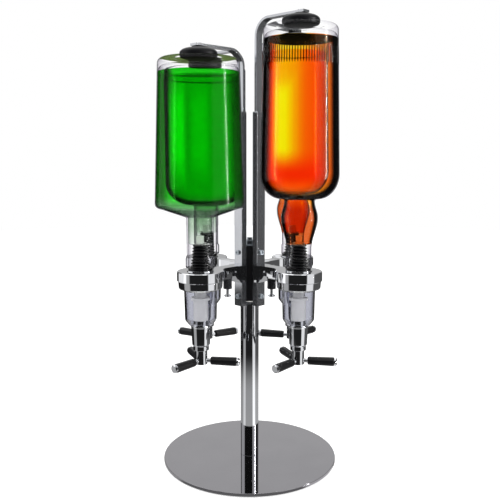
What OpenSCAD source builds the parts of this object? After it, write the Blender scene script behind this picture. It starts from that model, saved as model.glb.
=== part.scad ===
// Rotary liquor dispenser. A round base and a column carry a turning head with four stations.
// Each station holds an inverted bottle between a sprung strap above and a push-up measure below.
// Origin at the middle of the underside, +Z up, front towards -Y, millimetres.

/* [Stand] */
// Diameter of the base plate
base_d = 200; // [180:1:230]
// Thickness of the base plate
base_t = 3.5; // [3:0.5:8]
// Chamfer round the top edge of the base plate
base_edge = 0.8; // [0.2:0.1:1.5]
// Thickness of the pad under the base
base_pad_t = 1; // [0.5:0.5:3]
// Distance of the pad's edge inside the plate's edge
base_pad_inset = 4; // [1:1:20]
// Outside diameter of the column
column_d = 21; // [18:0.5:21.5]
// Wall of the column tube
column_wall = 1.5; // [1:0.1:2]
// Length of the column tube
column_len = 181.5; // [165:0.5:260]
// Height of the threaded plug in the foot of the column
foot_plug_h = 16; // [10:1:30]
// Thread diameter of the countersunk bolt that holds the column to the base
foot_bolt_d = 6; // [4:1:8]
// Head diameter of that bolt
foot_bolt_head_d = 11.6; // [10:0.2:12]
// How far that bolt stops short of the plug's top
foot_bolt_short = 2; // [1:0.5:6]

/* [Spindle] */
// Diameter of the spindle that the head turns on
spindle_d = 8; // [6.5:0.5:9]
// Length of the spindle's plug inside the column
spindle_plug_h = 18; // [10:1:30]
// Thickness of the spindle's flange on top of the column
spindle_flange_t = 2; // [1:0.5:4]
// Thickness of the nylon thrust washer
thrust_washer_t = 1; // [0.5:0.1:2]
// Thread diameter at the top of the spindle
spindle_thread_d = 6; // [4:0.5:6]
// How far the thread stands out of the nut
spindle_end = 3; // [1:0.5:6]
// Width of the top nut across its flats
nut_w = 10; // [8:0.5:13]
// Height of the top nut
nut_h = 5; // [3:0.5:8]
// Diameter of the washer under the nut
nut_washer_d = 16; // [13:0.5:18]
// Thickness of the washer under the nut
nut_washer_t = 1.2; // [0.8:0.1:2]

/* [Turning head] */
// Height of the black core
core_h = 62; // [56:1:90]
// Diameter of the core's round middle
core_d = 22; // [18:0.5:22]
// Outside diameter of the bearing bush in the core
bush_d = 12; // [11:0.5:14]
// Radius of the outer face of each rail from the spindle
rail_face_r = 18.2; // [18.2:0.1:20]
// Width of a rail
rail_w = 12; // [11.5:0.5:14]
// Depth of a rail, from its outer face to its lips
rail_depth = 7.2; // [6.9:0.1:7.2]
// Sheet thickness of a rail
rail_wall = 1.2; // [1:0.1:1.3]
// Width of the lips that keep the strap in the rail
rail_lip = 1.4; // [1:0.1:1.8]
// How far the rails reach below the core
rail_drop = 4.9; // [1:0.1:8]
// Thread diameter of the screws
screw_d = 3; // [2:0.5:3.5]
// Head diameter of the screws
screw_head_d = 5.6; // [4.5:0.1:6]
// Head height of the screws
screw_head_h = 1.8; // [1.2:0.1:2.5]
// Length of the cross recess in a screw head
recess_len = 3.4; // [2:0.1:4]
// Width of the cross recess
recess_w = 0.8; // [0.5:0.1:1.2]
// Depth of the cross recess
recess_depth = 1; // [0.5:0.1:1.1]
// Length of thread in the core or the bracket
screw_grip = 6; // [3:0.5:6.5]
// Distance of the rail screws from the ends of the core
screw_inset = 6; // [4:0.5:10]

/* [Brackets] */
// Radius of the bottle axes from the spindle
station_r = 74; // [73:0.5:85]
// Outside diameter of the bracket ring
ring_d = 50; // [44:0.2:53]
// Height of the bracket ring
ring_h = 10.7; // [8:0.1:14]
// Height of the ring's underside above the core's underside
bracket_rise = 31.4; // [26:0.2:36]
// Width of the bracket arm
arm_w = 13; // [10:0.5:16]
// Radius that blends the arm into the ring
arm_fillet = 14; // [8:1:18]
// Width of the saddle that clasps the rail
saddle_w = 17; // [16:0.5:18.5]
// How far the saddle reaches along the arm from the rail's face
saddle_len = 7; // [6.5:0.5:9]
// How far the saddle's lower end reaches along the arm from the rail's face
saddle_foot = 4; // [2:0.5:6]
// How far the saddle clasps the sides of the rail
saddle_grip = 4.2; // [2:0.2:6]
// How far the saddle reaches below the ring's underside
saddle_drop = 8.4; // [4:0.2:12]
// Chamfer on the ring's edges
ring_edge = 0.6; // [0.2:0.1:1.2]

/* [Measures] */
// Outside diameter of the chrome collar under the ring
collar_d = 49.4; // [41:0.2:53]
// Height of the collar under the ring
collar_h = 9.6; // [8:0.2:14]
// Height of the collar's bevel
collar_bevel = 2.6; // [1:0.2:4]
// Width of the collar's flat rim round the chamber
collar_rim = 1; // [0.5:0.1:2]
// Diameter of the collar's neck through the ring
collar_neck_d = 28.8; // [26:0.2:31]
// How far the neck stands above the ring
collar_lip = 1; // [0.4:0.2:3]
// Outside diameter of the clear chamber at its rim
chamber_d = 35.4; // [34:0.2:36]
// Outside diameter of the clear chamber above its bevel
chamber_low_d = 34; // [32:0.2:35]
// Outside diameter of the chamber's foot
chamber_foot_d = 24.8; // [23:0.2:26]
// Length of the chamber
chamber_len = 43; // [38:0.5:60]
// Height of the bevel at the chamber's foot
chamber_bevel = 6; // [4:0.5:8]
// Wall of the chamber
chamber_wall = 2.2; // [1.5:0.1:3]
// How deep the chamber's rim sits in the collar
chamber_seat = 4.6; // [2:0.2:5.5]
// Outside diameter of the inlet pipe
pipe_d = 8.2; // [7:0.2:9]
// Wall of the inlet pipe
pipe_wall = 1.1; // [0.8:0.1:1.6]
// How far the pipe stands out of the stopper
pipe_out = 8; // [3:0.5:14]
// Outside diameter of the dose tube's upper part
dose_neck_d = 12.6; // [11:0.2:15]
// Diameter of the dose tube's flange
dose_flange_d = 20.4; // [18:0.2:26]
// Thickness of the dose tube's flange
dose_flange_t = 3; // [2:0.5:4]
// Outside diameter of the dose tube's lower sleeve
dose_sleeve_d = 15.6; // [15:0.2:18]
// Height of the lower sleeve
dose_sleeve_h = 22.5; // [21.5:0.5:24]
// Thickness of the dose tube's roof over the valve
dose_roof = 1; // [0.5:0.1:2]
// Largest diameter of the chrome nozzle
nozzle_d = 21.8; // [20.5:0.2:24]
// Diameter of the nozzle at the end of its cone
nozzle_low_d = 19.2; // [18.5:0.2:20]
// Diameter of the nozzle's tip
nozzle_tip_d = 17; // [16.5:0.2:18]
// Length of the nozzle below the chamber
nozzle_len = 27.4; // [25:0.2:36]
// Length of the nozzle's tip
nozzle_tip_h = 5; // [3:0.5:8]
// Diameter of the nozzle's spigot in the chamber's foot
spigot_d = 16; // [14:0.2:17]
// Height of the nozzle's spigot
spigot_h = 4.8; // [4:0.2:5]

/* [Push levers] */
// How far a lever is pushed up
push_travel = 8; // [4:0.5:8.5]
// Diameter of the lever's hub
hub_d = 13.4; // [12:0.2:13.6]
// Length of the lever's hub
hub_len = 20.6; // [18:0.2:24]
// How far the hub reaches into the nozzle at rest
hub_overlap = 5; // [2:0.5:6]
// Diameter of the valve stem
stem_d = 6; // [4:0.5:7]
// Diameter of the valve head
valve_d = 11.6; // [9:0.2:11.8]
// Thickness of the valve head
valve_t = 4; // [2:0.5:5]
// Bevel on the valve head
valve_edge = 1; // [0.5:0.1:1.5]
// Metal between the rods and the foot of the valve stem
stem_floor = 1; // [0.5:0.1:2]
// Depth of the dimple in the hub's lower end
hub_dimple = 1.5; // [0.5:0.1:1.5]
// Height of the arms' middle line above the hub's lower end
push_arm_rise = 3.8; // [3.2:0.1:4.4]
// Diameter of the rods
push_rod_d = 4.4; // [3:0.2:5]
// Length of the arms from the hub's axis
push_arm_len = 42; // [34:1:46]
// Diameter of the grips
grip_d = 9.6; // [7:0.2:10]
// Distance of the grips' inner ends from the hub's axis
grip_from = 10.5; // [9.6:0.1:14]
// Length of the end caps
cap_len = 2.8; // [2.2:0.2:5]
// Thickness of a cap beyond its rod, and its bevel
cap_floor = 1; // [0.5:0.1:1.5]
// How far a cap's side lies below the grip's
cap_step = 0.4; // [0.2:0.1:1]
// Loss of radius at the inner end of a grip
grip_taper = 0.5; // [0:0.1:1]
// Bevel at the ends of a grip
grip_edge = 0.7; // [0.4:0.1:1]

/* [Release pins] */
// Radius of the release pins from the spindle
latch_r = 34.5; // [33:0.5:40]
// Diameter of the pin
latch_d = 3.2; // [2.4:0.2:3.4]
// Diameter of the pin's foot disc
latch_foot_d = 7.4; // [6:0.2:10]
// Thickness of the foot disc
latch_foot_t = 2.2; // [1.5:0.1:3]
// Length of pin between the bush and the foot disc
latch_stem = 6.6; // [6.4:0.2:10]
// How far the pin reaches into the arm
latch_bite = 3.4; // [2:0.2:3.6]
// How far the pin is pulled down
latch_travel = 4.2; // [3.8:0.1:6]
// Thickness of the ring on the pin that its spring pushes
latch_ring_t = 1.2; // [0.8:0.1:2]
// Bevel on the pin's ends and its foot disc
latch_edge = 0.4; // [0.2:0.1:0.6]
// Diameter of the pin's bush
latch_bush_d = 9.6; // [8.6:0.2:12]
// Floor of the pin's bush
latch_floor = 4.3; // [0.8:0.1:5]
// Bevel on the bush
latch_bush_edge = 0.6; // [0.3:0.1:1]
// Thickness of the collar's tongue that the bush hangs from
tongue_t = 2.2; // [1.5:0.1:3]
// Width of the tongue
tongue_w = 11; // [10:0.5:13]

/* [Straps] */
// Width of a strap
strap_w = 9.2; // [8:0.1:9.4]
// Thickness of a strap
strap_t = 2.5; // [1.5:0.1:2.8]
// Inside radius of the strap's bend
strap_bend_r = 17; // [10:1:22]
// Length of the strap's upright leg below its arm
strap_leg = 190; // [180:1:192]
// How far the strap reaches past the pad's axis
strap_past = 7; // [7:1:16]
// How far a strap lifts
strap_lift = 60; // [40:1:70]
// Least length of a strap's leg in its rail at full lift
strap_hold = 30.8; // [20:0.2:60]
// Diameter of the rubber pad
press_pad_d = 39; // [30:1:40]
// Height of the pad's domed part
press_pad_h = 11; // [8:0.5:12]
// Diameter of the pad's neck
press_neck_d = 14; // [10:0.5:16]
// Height of the pad's neck
press_neck_h = 1.5; // [1:0.5:4]
// Rounding of the pad's lower edge
press_pad_edge = 2; // [0.5:0.1:2]
// Diameter of the rivet that holds the pad
rivet_d = 4.8; // [3:0.2:6]
// Diameter of the rivet's head
rivet_head_d = 8.2; // [6.6:0.2:9]
// Height of the rivet's domed head
rivet_head_h = 1.4; // [1:0.1:2]
// Bevel on the rivet's head
rivet_edge = 0.6; // [0.3:0.1:0.9]

/* [Stoppers] */
// Diameter of the bottles' bores, which the stoppers plug
bore_d = 20.8; // [19:0.2:22]
// Diameter of the stopper's flange
stopper_flange_d = 26; // [24.4:0.2:28]
// Thickness of the stopper's flange
stopper_flange_t = 2.7; // [1.5:0.1:4]
// Length of the ribbed plug
stopper_len = 25.5; // [20:0.5:32]
// Diameter of the plug's upper end
stopper_tip_d = 16; // [13:0.2:18]
// Depth of the grooves between the ribs
rib_depth = 1.8; // [0.6:0.1:2]
// Number of ribs
rib_count = 8; // [6:1:14]
// Share of a rib's pitch that each of its flanks takes
rib_flank = 0.3; // [0.2:0.05:0.3]

/* [Bottles] */
// Body diameter of the square-shouldered green bottle at its shoulder
green_front_d = 94; // [86:0.5:98]
// Diameter of the square-shouldered green bottle at its base
green_foot_d = 85; // [80:0.5:94]
// Body diameter of the round-shouldered green bottle
green_rear_d = 95; // [84:0.5:98]
// Body diameter of the amber bottles at their shoulder
amber_d = 83; // [74:0.5:92]
// Diameter of the amber bottles at their base
amber_foot_d = 77; // [72:0.5:90]
// Height of the square-shouldered green bottle
green_front_h = 217; // [210:1:240]
// Height of the round-shouldered green bottle
green_rear_h = 221; // [210:1:240]
// Height of the amber bottles
amber_h = 250; // [215:1:260]
// Neck diameter of the green bottles
green_neck_d = 29; // [27:0.2:32]
// Neck diameter of the amber bottles
amber_neck_d = 26.4; // [26:0.2:30]
// Length of the amber bottles' straight neck below the bulb
amber_neck_len = 20; // [14:0.5:26]
// Widest diameter of the amber bottles' bulb neck
amber_bulb_d = 39.2; // [34:0.2:44]
// Diameter of the waist between bulb and shoulder
amber_waist_d = 32.4; // [30:0.2:36]
// Height of the bulb's widest place above the mouth
amber_bulb_rise = 53; // [48:0.5:60]
// Height of the waist above the mouth
amber_waist_rise = 70; // [64:0.5:76]
// Neck length of the square-shouldered bottle
green_front_neck = 54; // [48:0.5:64]
// Neck length of the round-shouldered bottle
green_rear_neck = 56; // [48:0.5:64]
// Rise of the flat shoulder
flat_rise = 9; // [6:0.5:14]
// Rise of the round shoulders
round_rise = 26; // [18:0.5:34]
// Fillet where a neck meets a flat shoulder
neck_fillet = 2; // [1:0.5:4]
// Width of the hollow turn from a neck into a round shoulder
cove_w = 4; // [2:0.5:6]
// Height of that hollow turn
cove_h = 3; // [2:0.5:6]
// Corner radius where the flat shoulder meets the body
corner_r = 5; // [3:0.5:8]
// Radius of the heel
heel_r = 6; // [4:0.5:8]
// Glass wall of the body
glass_wall = 3.2; // [2:0.1:5]
// Glass thickness at the base
glass_base = 10; // [8:0.5:14]
// Depth of the dish in the base
dish_depth = 1; // [0.5:0.1:6]
// Diameter of the dish in the base
dish_d = 46; // [42:0.5:52]
// Width of the slope round the dish
dish_slope = 3; // [1:0.5:5]
// How far the lip at a bottle's mouth stands out from its neck
lip_out = 1.2; // [0.6:0.1:2]
// Height of the lip
lip_h = 10; // [6:0.5:12]
// Gap of air above the liquid
air_gap = 4; // [2:0.5:30]

/* [Springs] */
// Wire diameter of the measures' return springs
valve_wire = 0.9; // [0.6:0.1:1]
// Number of curls in a return spring
valve_curls = 5; // [4:1:6]
// Length of the room for a return spring at rest
valve_spring_len = 18; // [16:0.5:19]
// Mean diameter of a return spring
valve_coil_d = 10; // [9.6:0.1:10.4]
// Wire diameter of the strap springs
strap_wire = 0.7; // [0.5:0.1:0.8]
// Number of curls in a strap spring
strap_curls = 9; // [6:1:12]
// Mean diameter of a strap spring
strap_coil_d = 3.6; // [3:0.1:3.7]
// Wire diameter of the release springs
latch_wire = 0.5; // [0.4:0.1:0.5]
// Number of curls in a release spring
latch_curls = 3; // [2:1:3]
// Mean diameter of a release spring
latch_coil_d = 4.9; // [4.7:0.1:5.1]

/* [Clearances] */
// Radial play of bearing fits
run_gap = 0.05; // [0.02:0.01:0.1]
// Gap between pieces that are fixed together
fit_gap = 0.1; // [0.05:0.01:0.15]
// Gap between pieces that slide past each other
slide_gap = 0.3; // [0.3:0.01:0.35]

/* [Hidden] */
$fn = 64;

// Each station's name, its angle about the spindle, its bottle and the angle of its first lever arm
STATIONS = [
    ["front_left", 225, "green_front", 351],
    ["front_right", 315, "amber", 351],
    ["rear_right", 45, "amber", 45],
    ["rear_left", 135, "green_rear", 30]
];

// Heights of the stand and the head
base_top = base_pad_t + base_t;
column_top = base_top + column_len;
column_bore_r = column_d / 2 - column_wall;
washer_z = column_top + spindle_flange_t;
core_z = washer_z + thrust_washer_t + fit_gap;
core_top = core_z + core_h;
nut_washer_z = core_top + slide_gap;
nut_z = nut_washer_z + nut_washer_t;
foot_bolt_head_h = (foot_bolt_head_d - foot_bolt_d) / 2;

// How far a cut runs past the faces that it opens
over = 1;

// Rails
rail_z = core_z - rail_drop;
rail_in_r = rail_face_r - rail_wall;
rail_tip_r = rail_face_r - rail_depth;
rail_gap = rail_w - 2 * rail_wall;
lip_r = rail_tip_r + rail_wall;
screw_zs = [core_z + screw_inset, core_top - screw_inset];

// Brackets and collars
ring_z = core_z + bracket_rise;
ring_top = ring_z + ring_h;
ring_bore_r = collar_neck_d / 2 + fit_gap;
saddle_z = ring_z - saddle_drop;
bracket_screw_z = (saddle_z + ring_top) / 2;
collar_top = ring_z - fit_gap;
collar_z = collar_top - collar_h;
neck_top = ring_top + collar_lip;

// Measures, from the chamber down to the levers
chamber_top = collar_z + chamber_seat;
chamber_z = chamber_top - chamber_len;
nozzle_top = chamber_z - fit_gap;
nozzle_z = nozzle_top - nozzle_len;
spigot_top = nozzle_top + spigot_h;
hub_top = nozzle_z + hub_overlap;
hub_z = hub_top - hub_len;
arm_z = hub_z + push_arm_rise;
arm_turns = [0, 120, 240];
nozzle_bore_r = hub_d / 2 + slide_gap;
stem_bore_r = stem_d / 2 + run_gap;
nozzle_bore_top = hub_top + valve_spring_len;
dose_z = spigot_top + fit_gap;
dose_flange_z = dose_z + dose_sleeve_h;
valve_bore_r = valve_d / 2 + slide_gap;
valve_z = dose_z + push_travel;
stem_foot = arm_z + push_rod_d / 2 + stem_floor;
stopper_z = neck_top;
stopper_top = stopper_z + stopper_flange_t + stopper_len;
pipe_top = stopper_top + pipe_out;

// Release pins
tongue_top = collar_top;
latch_bush_top = tongue_top - tongue_t;
latch_solid = (latch_curls + 1) * latch_wire;
latch_room = latch_travel + latch_solid + 2 * fit_gap;
latch_ring_z = latch_bush_top - fit_gap - latch_ring_t;
latch_room_z = latch_ring_z - latch_room;
latch_bush_z = latch_room_z - latch_floor;
latch_foot_z = latch_bush_z - latch_stem - latch_foot_t;
latch_top = ring_z + latch_bite;
latch_room_r = latch_coil_d / 2 + latch_wire;

// Bottles, straps and pads
mouth_z = stopper_z + stopper_flange_t + fit_gap;
bore_r = bore_d / 2;
strap_in_r = lip_r + fit_gap;
strap_spring_r = (lip_r + rail_in_r) / 2;
function bottle_h(kind) = kind == "amber" ? amber_h : kind == "green_front" ? green_front_h : green_rear_h;
function pad_z(kind) = mouth_z + bottle_h(kind) - dish_depth + slide_gap;
function strap_z(kind) = pad_z(kind) + press_pad_h + press_neck_h + fit_gap;
function strap_low(kind) = strap_z(kind) + strap_t - strap_leg;
rail_len = max([for (s = STATIONS) strap_low(s[2])]) + strap_lift + strap_hold - rail_z;

// Curves of an outline: an S, a turn from upright to level, and a turn from level to upright
steps = 8;
function ess(p, q) = [for (i = [0 : steps - 1]) let (t = i / steps)
    [p.x + (q.x - p.x) * (1 - cos(180 * t)) / 2, p.y + (q.y - p.y) * t]];
function to_level(p, q) = [for (i = [0 : steps - 1]) let (a = 90 * i / steps)
    [q.x - (q.x - p.x) * cos(a), p.y + (q.y - p.y) * sin(a)]];
function to_upright(p, q) = [for (i = [0 : steps - 1]) let (a = 90 * i / steps)
    [p.x + (q.x - p.x) * sin(a), q.y - (q.y - p.y) * cos(a)]];

// Outlines from the mouth to the middle of the base; e moves the outline into the glass
function neck_r(d, e) = e == 0 ? d / 2 : bore_r + glass_wall - e;
function mouth_line(n, e) = e > 0 ? [[n, 0]] :
    concat([[n, 0], [n + lip_out, 0], [n + lip_out, lip_h]], [[n, lip_h + lip_out]]);
function base_line(r, h, e) =
    let (z = e == 0 ? h : h - glass_base - (e - glass_wall), heel = heel_r)
    concat(to_level([r, z - heel], [r - heel, z]), [[r - heel, z]]);
function round_shoulder(n, r, z) =
    let (end = [r, z + cove_h + round_rise])
    concat(to_upright([n + cove_w, z + cove_h], end), [end]);
function flat_outline(e) =
    let (r = green_front_d / 2 - e, n = neck_r(green_neck_d, e), z = green_front_neck + e,
        end = [r, z + flat_rise + corner_r])
    concat(mouth_line(n, e), to_level([n, z - neck_fillet], [n + neck_fillet, z]), [[n + neck_fillet, z]],
        to_upright([r - corner_r, z + flat_rise], end), [end],
        base_line(green_foot_d / 2 - e, green_front_h, e));
function round_outline(e) =
    let (r = green_rear_d / 2 - e, n = neck_r(green_neck_d, e), z = green_rear_neck + e)
    concat(mouth_line(n, e), to_level([n, z], [n + cove_w, z + cove_h]), round_shoulder(n, r, z),
        base_line(r, green_rear_h, e));
function bulb_outline(e) =
    let (r = amber_d / 2 - e, n = neck_r(amber_neck_d, e), b = amber_bulb_d / 2 - e,
        w = amber_waist_d / 2 - e, z = amber_waist_rise + e)
    concat(mouth_line(n, e), ess([n, amber_neck_len], [b, amber_bulb_rise]),
        ess([b, amber_bulb_rise], [w, z]), to_level([w, z], [w + cove_w, z + cove_h]),
        round_shoulder(w, r, z), base_line(amber_foot_d / 2 - e, amber_h, e));
function outline(kind, e) =
    kind == "amber" ? bulb_outline(e) : kind == "green_front" ? flat_outline(e) : round_outline(e);

// A coil of round wire standing on z, as one swept tube with flat ends
curl_rings = 8;
wire_sides = 6;
function coil_point(d, len, curls, i) =
    let (a = 360 * i / curl_rings) [d / 2 * cos(a), d / 2 * sin(a), len * i / (curls * curl_rings)];
// Least gap of a coil to itself, measured between points half a turn or more apart along its wire
function coil_gap(d, wire, curls, len) =
    let (line = [for (i = [0 : curls * curl_rings]) coil_point(d, len - wire, curls, i)])
    min([for (i = [0 : len(line) - 1], j = [0 : len(line) - 1])
        if (j - i >= curl_rings / 2) norm(line[j] - line[i])]) - wire;
module coil(d, wire, curls, len) {
    rings = curls * curl_rings;
    rise = len - wire;
    echo(least_gap = coil_gap(d, wire, curls, len));
    points = [for (i = [0 : rings], j = [0 : wire_sides - 1])
        let (a = 360 * i / curl_rings, b = 360 * j / wire_sides, p = coil_point(d, rise, curls, i))
        p + wire / 2 * [cos(b) * cos(a), cos(b) * sin(a), sin(b)] + [0, 0, wire / 2]];
    sides = [for (i = [0 : rings - 1], j = [0 : wire_sides - 1])
        let (k = (j + 1) % wire_sides, a = i * wire_sides, b = a + wire_sides)
        each [[a + j, b + j, b + k], [a + j, b + k, a + k]]];
    ends = [for (j = [1 : wire_sides - 2])
        each [[0, j, j + 1], [rings * wire_sides, rings * wire_sides + j + 1, rings * wire_sides + j]]];
    polyhedron(points, concat(sides, ends));
}

module at_station(s) {
    rotate([0, 0, s[1]])
        children();
}

// Places a child at a station's bottle axis
module on_axis(s) {
    at_station(s)
        translate([station_r, 0, 0])
            children();
}

// A hollow cylinder from z to top
module ring(outer_r, inner_r, z, top) {
    translate([0, 0, z])
        difference() {
            cylinder(r = outer_r, h = top - z);
            translate([0, 0, -over])
                cylinder(r = inner_r, h = top - z + 2 * over);
        }
}

// Stand

module base_plate() {
    r = base_d / 2;
    bolt_r = foot_bolt_d / 2 + fit_gap;
    head_r = foot_bolt_head_d / 2 + fit_gap;
    color("dimgray")
        rotate_extrude($fn = 128)
            polygon([[head_r, base_pad_t], [r, base_pad_t], [r, base_top - base_edge],
                [r - base_edge, base_top], [bolt_r, base_top],
                [bolt_r, base_pad_t + foot_bolt_head_h]]);
}

module base_pad() {
    color("black")
        cylinder(r = base_d / 2 - base_pad_inset, h = base_pad_t, $fn = 128);
}

module base_bolt() {
    color("silver")
        translate([0, 0, base_pad_t]) {
            cylinder(r1 = foot_bolt_head_d / 2, r2 = foot_bolt_d / 2, h = foot_bolt_head_h);
            cylinder(r = foot_bolt_d / 2, h = base_t + foot_plug_h - foot_bolt_short);
        }
}

module column_tube() {
    color("lightgray")
        ring(column_d / 2, column_bore_r, base_top, column_top);
}

module foot_plug() {
    color("gray")
        ring(column_bore_r - fit_gap, foot_bolt_d / 2 + fit_gap, base_top, base_top + foot_plug_h);
}

// Plug in the column, flange, bearing shaft and thread, turned from one bar
module spindle() {
    plug_z = column_top - spindle_plug_h;
    color("gray") {
        translate([0, 0, plug_z])
            cylinder(r = column_bore_r - fit_gap, h = spindle_plug_h);
        translate([0, 0, column_top])
            cylinder(r = column_d / 2, h = spindle_flange_t);
        translate([0, 0, plug_z])
            cylinder(r = spindle_d / 2, h = nut_washer_z - plug_z);
        translate([0, 0, plug_z])
            cylinder(r = spindle_thread_d / 2, h = nut_z + nut_h + spindle_end - plug_z);
    }
}

module thrust_washer() {
    color("ivory")
        ring(column_d / 2, spindle_d / 2 + fit_gap, washer_z, washer_z + thrust_washer_t);
}

// Washer and nut that keep the head on the spindle
module top_nut() {
    hole_r = spindle_thread_d / 2 + fit_gap;
    color("lightsteelblue") {
        ring(nut_washer_d / 2, hole_r, nut_washer_z, nut_z);
        translate([0, 0, nut_z])
            difference() {
                cylinder(r = nut_w / 2 / cos(30), h = nut_h, $fn = 6);
                translate([0, 0, -over])
                    cylinder(r = hole_r, h = nut_h + 2 * over);
            }
    }
}

// Turning head

// A radial hole or screw shank through a rail, from radius r0 to r1 at height z
module radial(d, r0, r1, z) {
    translate([r0, 0, z])
        rotate([0, 90, 0])
            cylinder(r = d / 2, h = r1 - r0);
}

// Black core with four T-shaped lobes that fill the rails
module hub_core() {
    lobe_w = rail_gap - 2 * fit_gap;
    slot_w = rail_gap - 2 * rail_lip - 2 * fit_gap;
    lobe_r = rail_in_r - fit_gap;
    color([0.06, 0.06, 0.07])
        difference() {
            translate([0, 0, core_z])
                linear_extrude(core_h) {
                    circle(r = core_d / 2);
                    for (s = STATIONS)
                        rotate(s[1]) {
                            translate([0, -slot_w / 2])
                                square([lobe_r, slot_w]);
                            translate([lip_r + fit_gap, -lobe_w / 2])
                                square([lobe_r - lip_r - fit_gap, lobe_w]);
                        }
                }
            translate([0, 0, core_z - over])
                cylinder(r = bush_d / 2 + fit_gap, h = core_h + 2 * over);
            for (s = STATIONS)
                at_station(s) {
                    for (z = screw_zs)
                        radial(screw_d + 2 * fit_gap, rail_in_r - screw_grip, rail_face_r, z);
                    radial(screw_head_d + 2 * fit_gap, rail_in_r - screw_head_h - 2 * fit_gap, rail_face_r,
                        bracket_screw_z);
                }
        }
}

module hub_bush() {
    color("darkgoldenrod")
        ring(bush_d / 2, spindle_d / 2 + run_gap, core_z, core_top);
}

// Screw head from radius r0 to r1 at height z, with a cross recess in the face at r_open
module screw_head(r0, r1, r_open, z) {
    difference() {
        radial(screw_head_d, r0, r1, z);
        for (size = [[recess_len, recess_w], [recess_w, recess_len]])
            translate([r_open, 0, z])
                cube([2 * recess_depth, size.x, size.y], center = true);
    }
}

// Pan-head screws: two hold each rail on the core, and one inside each rail holds its bracket
module frame_screws() {
    head_r = rail_face_r + screw_head_h;
    inner_head_r = rail_in_r - screw_head_h - fit_gap;
    color("silver")
        for (s = STATIONS)
            at_station(s) {
                for (z = screw_zs) {
                    screw_head(rail_face_r, head_r, head_r, z);
                    radial(screw_d, rail_in_r - screw_grip + fit_gap, rail_face_r + fit_gap, z);
                }
                screw_head(inner_head_r, rail_in_r - fit_gap, inner_head_r, bracket_screw_z);
                radial(screw_d, rail_in_r - 2 * fit_gap, rail_face_r + screw_grip - fit_gap, bracket_screw_z);
            }
}

// Lipped channel, open towards the spindle
module rail() {
    lip_y = rail_gap / 2 - rail_lip;
    color("silver")
        difference() {
            translate([0, 0, rail_z])
                linear_extrude(rail_len)
                    difference() {
                        translate([rail_tip_r, -rail_w / 2])
                            square([rail_depth, rail_w]);
                        translate([lip_r, -rail_gap / 2])
                            square([rail_in_r - lip_r, rail_gap]);
                        translate([rail_tip_r - over, -lip_y])
                            square([rail_wall + 2 * over, 2 * lip_y]);
                    }
            for (z = concat(screw_zs, [bracket_screw_z]))
                radial(screw_d + 2 * fit_gap, rail_in_r - over, rail_face_r + over, z);
        }
}

// Plan of the arm with its saddle and the blends into the ring
module bracket_plan() {
    r = ring_d / 2;
    w = arm_w / 2;
    reach = sqrt(pow(r + arm_fillet, 2) - pow(w + arm_fillet, 2));
    blend = [station_r - reach, w + arm_fillet];
    touch = [station_r - reach * r / (r + arm_fillet), blend.y * r / (r + arm_fillet)];
    translate([rail_face_r - saddle_grip, -saddle_w / 2])
        square([saddle_grip + saddle_len, saddle_w]);
    translate([rail_face_r, -w])
        square([station_r - rail_face_r, arm_w]);
    for (side = [-1, 1])
        difference() {
            polygon([[blend.x, 0], [blend.x, side * blend.y], [touch.x, side * touch.y], [station_r, 0]]);
            translate([blend.x, side * blend.y])
                circle(r = arm_fillet);
        }
}

// Cast arm with a ring for the measure, a gusset and a saddle on the rail
module bracket() {
    r = ring_d / 2;
    root = rail_face_r - saddle_grip;
    gusset_end = latch_r - tongue_w / 2 - slide_gap;
    color("silver")
        difference() {
            union() {
                translate([station_r, 0, 0])
                    rotate_extrude()
                        polygon([[0, ring_z], [r - ring_edge, ring_z], [r, ring_z + ring_edge],
                            [r, ring_top - ring_edge], [r - ring_edge, ring_top], [0, ring_top]]);
                intersection() {
                    translate([0, 0, saddle_z])
                        linear_extrude(ring_top - saddle_z)
                            bracket_plan();
                    translate([0, station_r / 2, 0])
                        rotate([90, 0, 0])
                            linear_extrude(station_r)
                                polygon([[root, saddle_z], [rail_face_r + saddle_foot, saddle_z],
                                    [gusset_end, ring_z], [station_r, ring_z], [station_r, ring_top],
                                    [root, ring_top]]);
                }
            }
            translate([station_r, 0, ring_z - over])
                cylinder(r = ring_bore_r, h = ring_h + 2 * over);
            translate([0, -rail_w / 2 - fit_gap, saddle_z - over])
                cube([rail_face_r + fit_gap, rail_w + 2 * fit_gap, ring_top - saddle_z + 2 * over]);
            radial(screw_d + 2 * fit_gap, rail_face_r, rail_face_r + screw_grip, bracket_screw_z);
            translate([latch_r, 0, ring_z - over])
                cylinder(r = latch_d / 2 + slide_gap, h = latch_bite + slide_gap + over);
        }
}

// Measures

// Chrome collar: a neck through the ring, a socket for the chamber and a tongue for the release pin
module collar() {
    r = collar_d / 2;
    socket_r = chamber_d / 2 + fit_gap;
    pipe_r = pipe_d / 2 + fit_gap;
    tongue_len = station_r - latch_r;
    difference() {
        union() {
            rotate_extrude()
                polygon([[0, collar_z], [socket_r + collar_rim, collar_z], [r, collar_z + collar_bevel],
                    [r, collar_top], [collar_neck_d / 2, collar_top], [collar_neck_d / 2, neck_top],
                    [0, neck_top]]);
            translate([0, 0, latch_bush_top])
                linear_extrude(tongue_t) {
                    translate([-tongue_len, -tongue_w / 2])
                        square([tongue_len, tongue_w]);
                    translate([-tongue_len, 0])
                        circle(r = tongue_w / 2);
                }
        }
        translate([0, 0, collar_z - over])
            cylinder(r = socket_r, h = chamber_seat + fit_gap + over);
        translate([0, 0, collar_z - over])
            cylinder(r = pipe_r, h = neck_top - collar_z + 2 * over);
        translate([-tongue_len, 0, latch_bush_top - over])
            cylinder(r = latch_d / 2 + slide_gap, h = tongue_t + 2 * over);
    }
}

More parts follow.
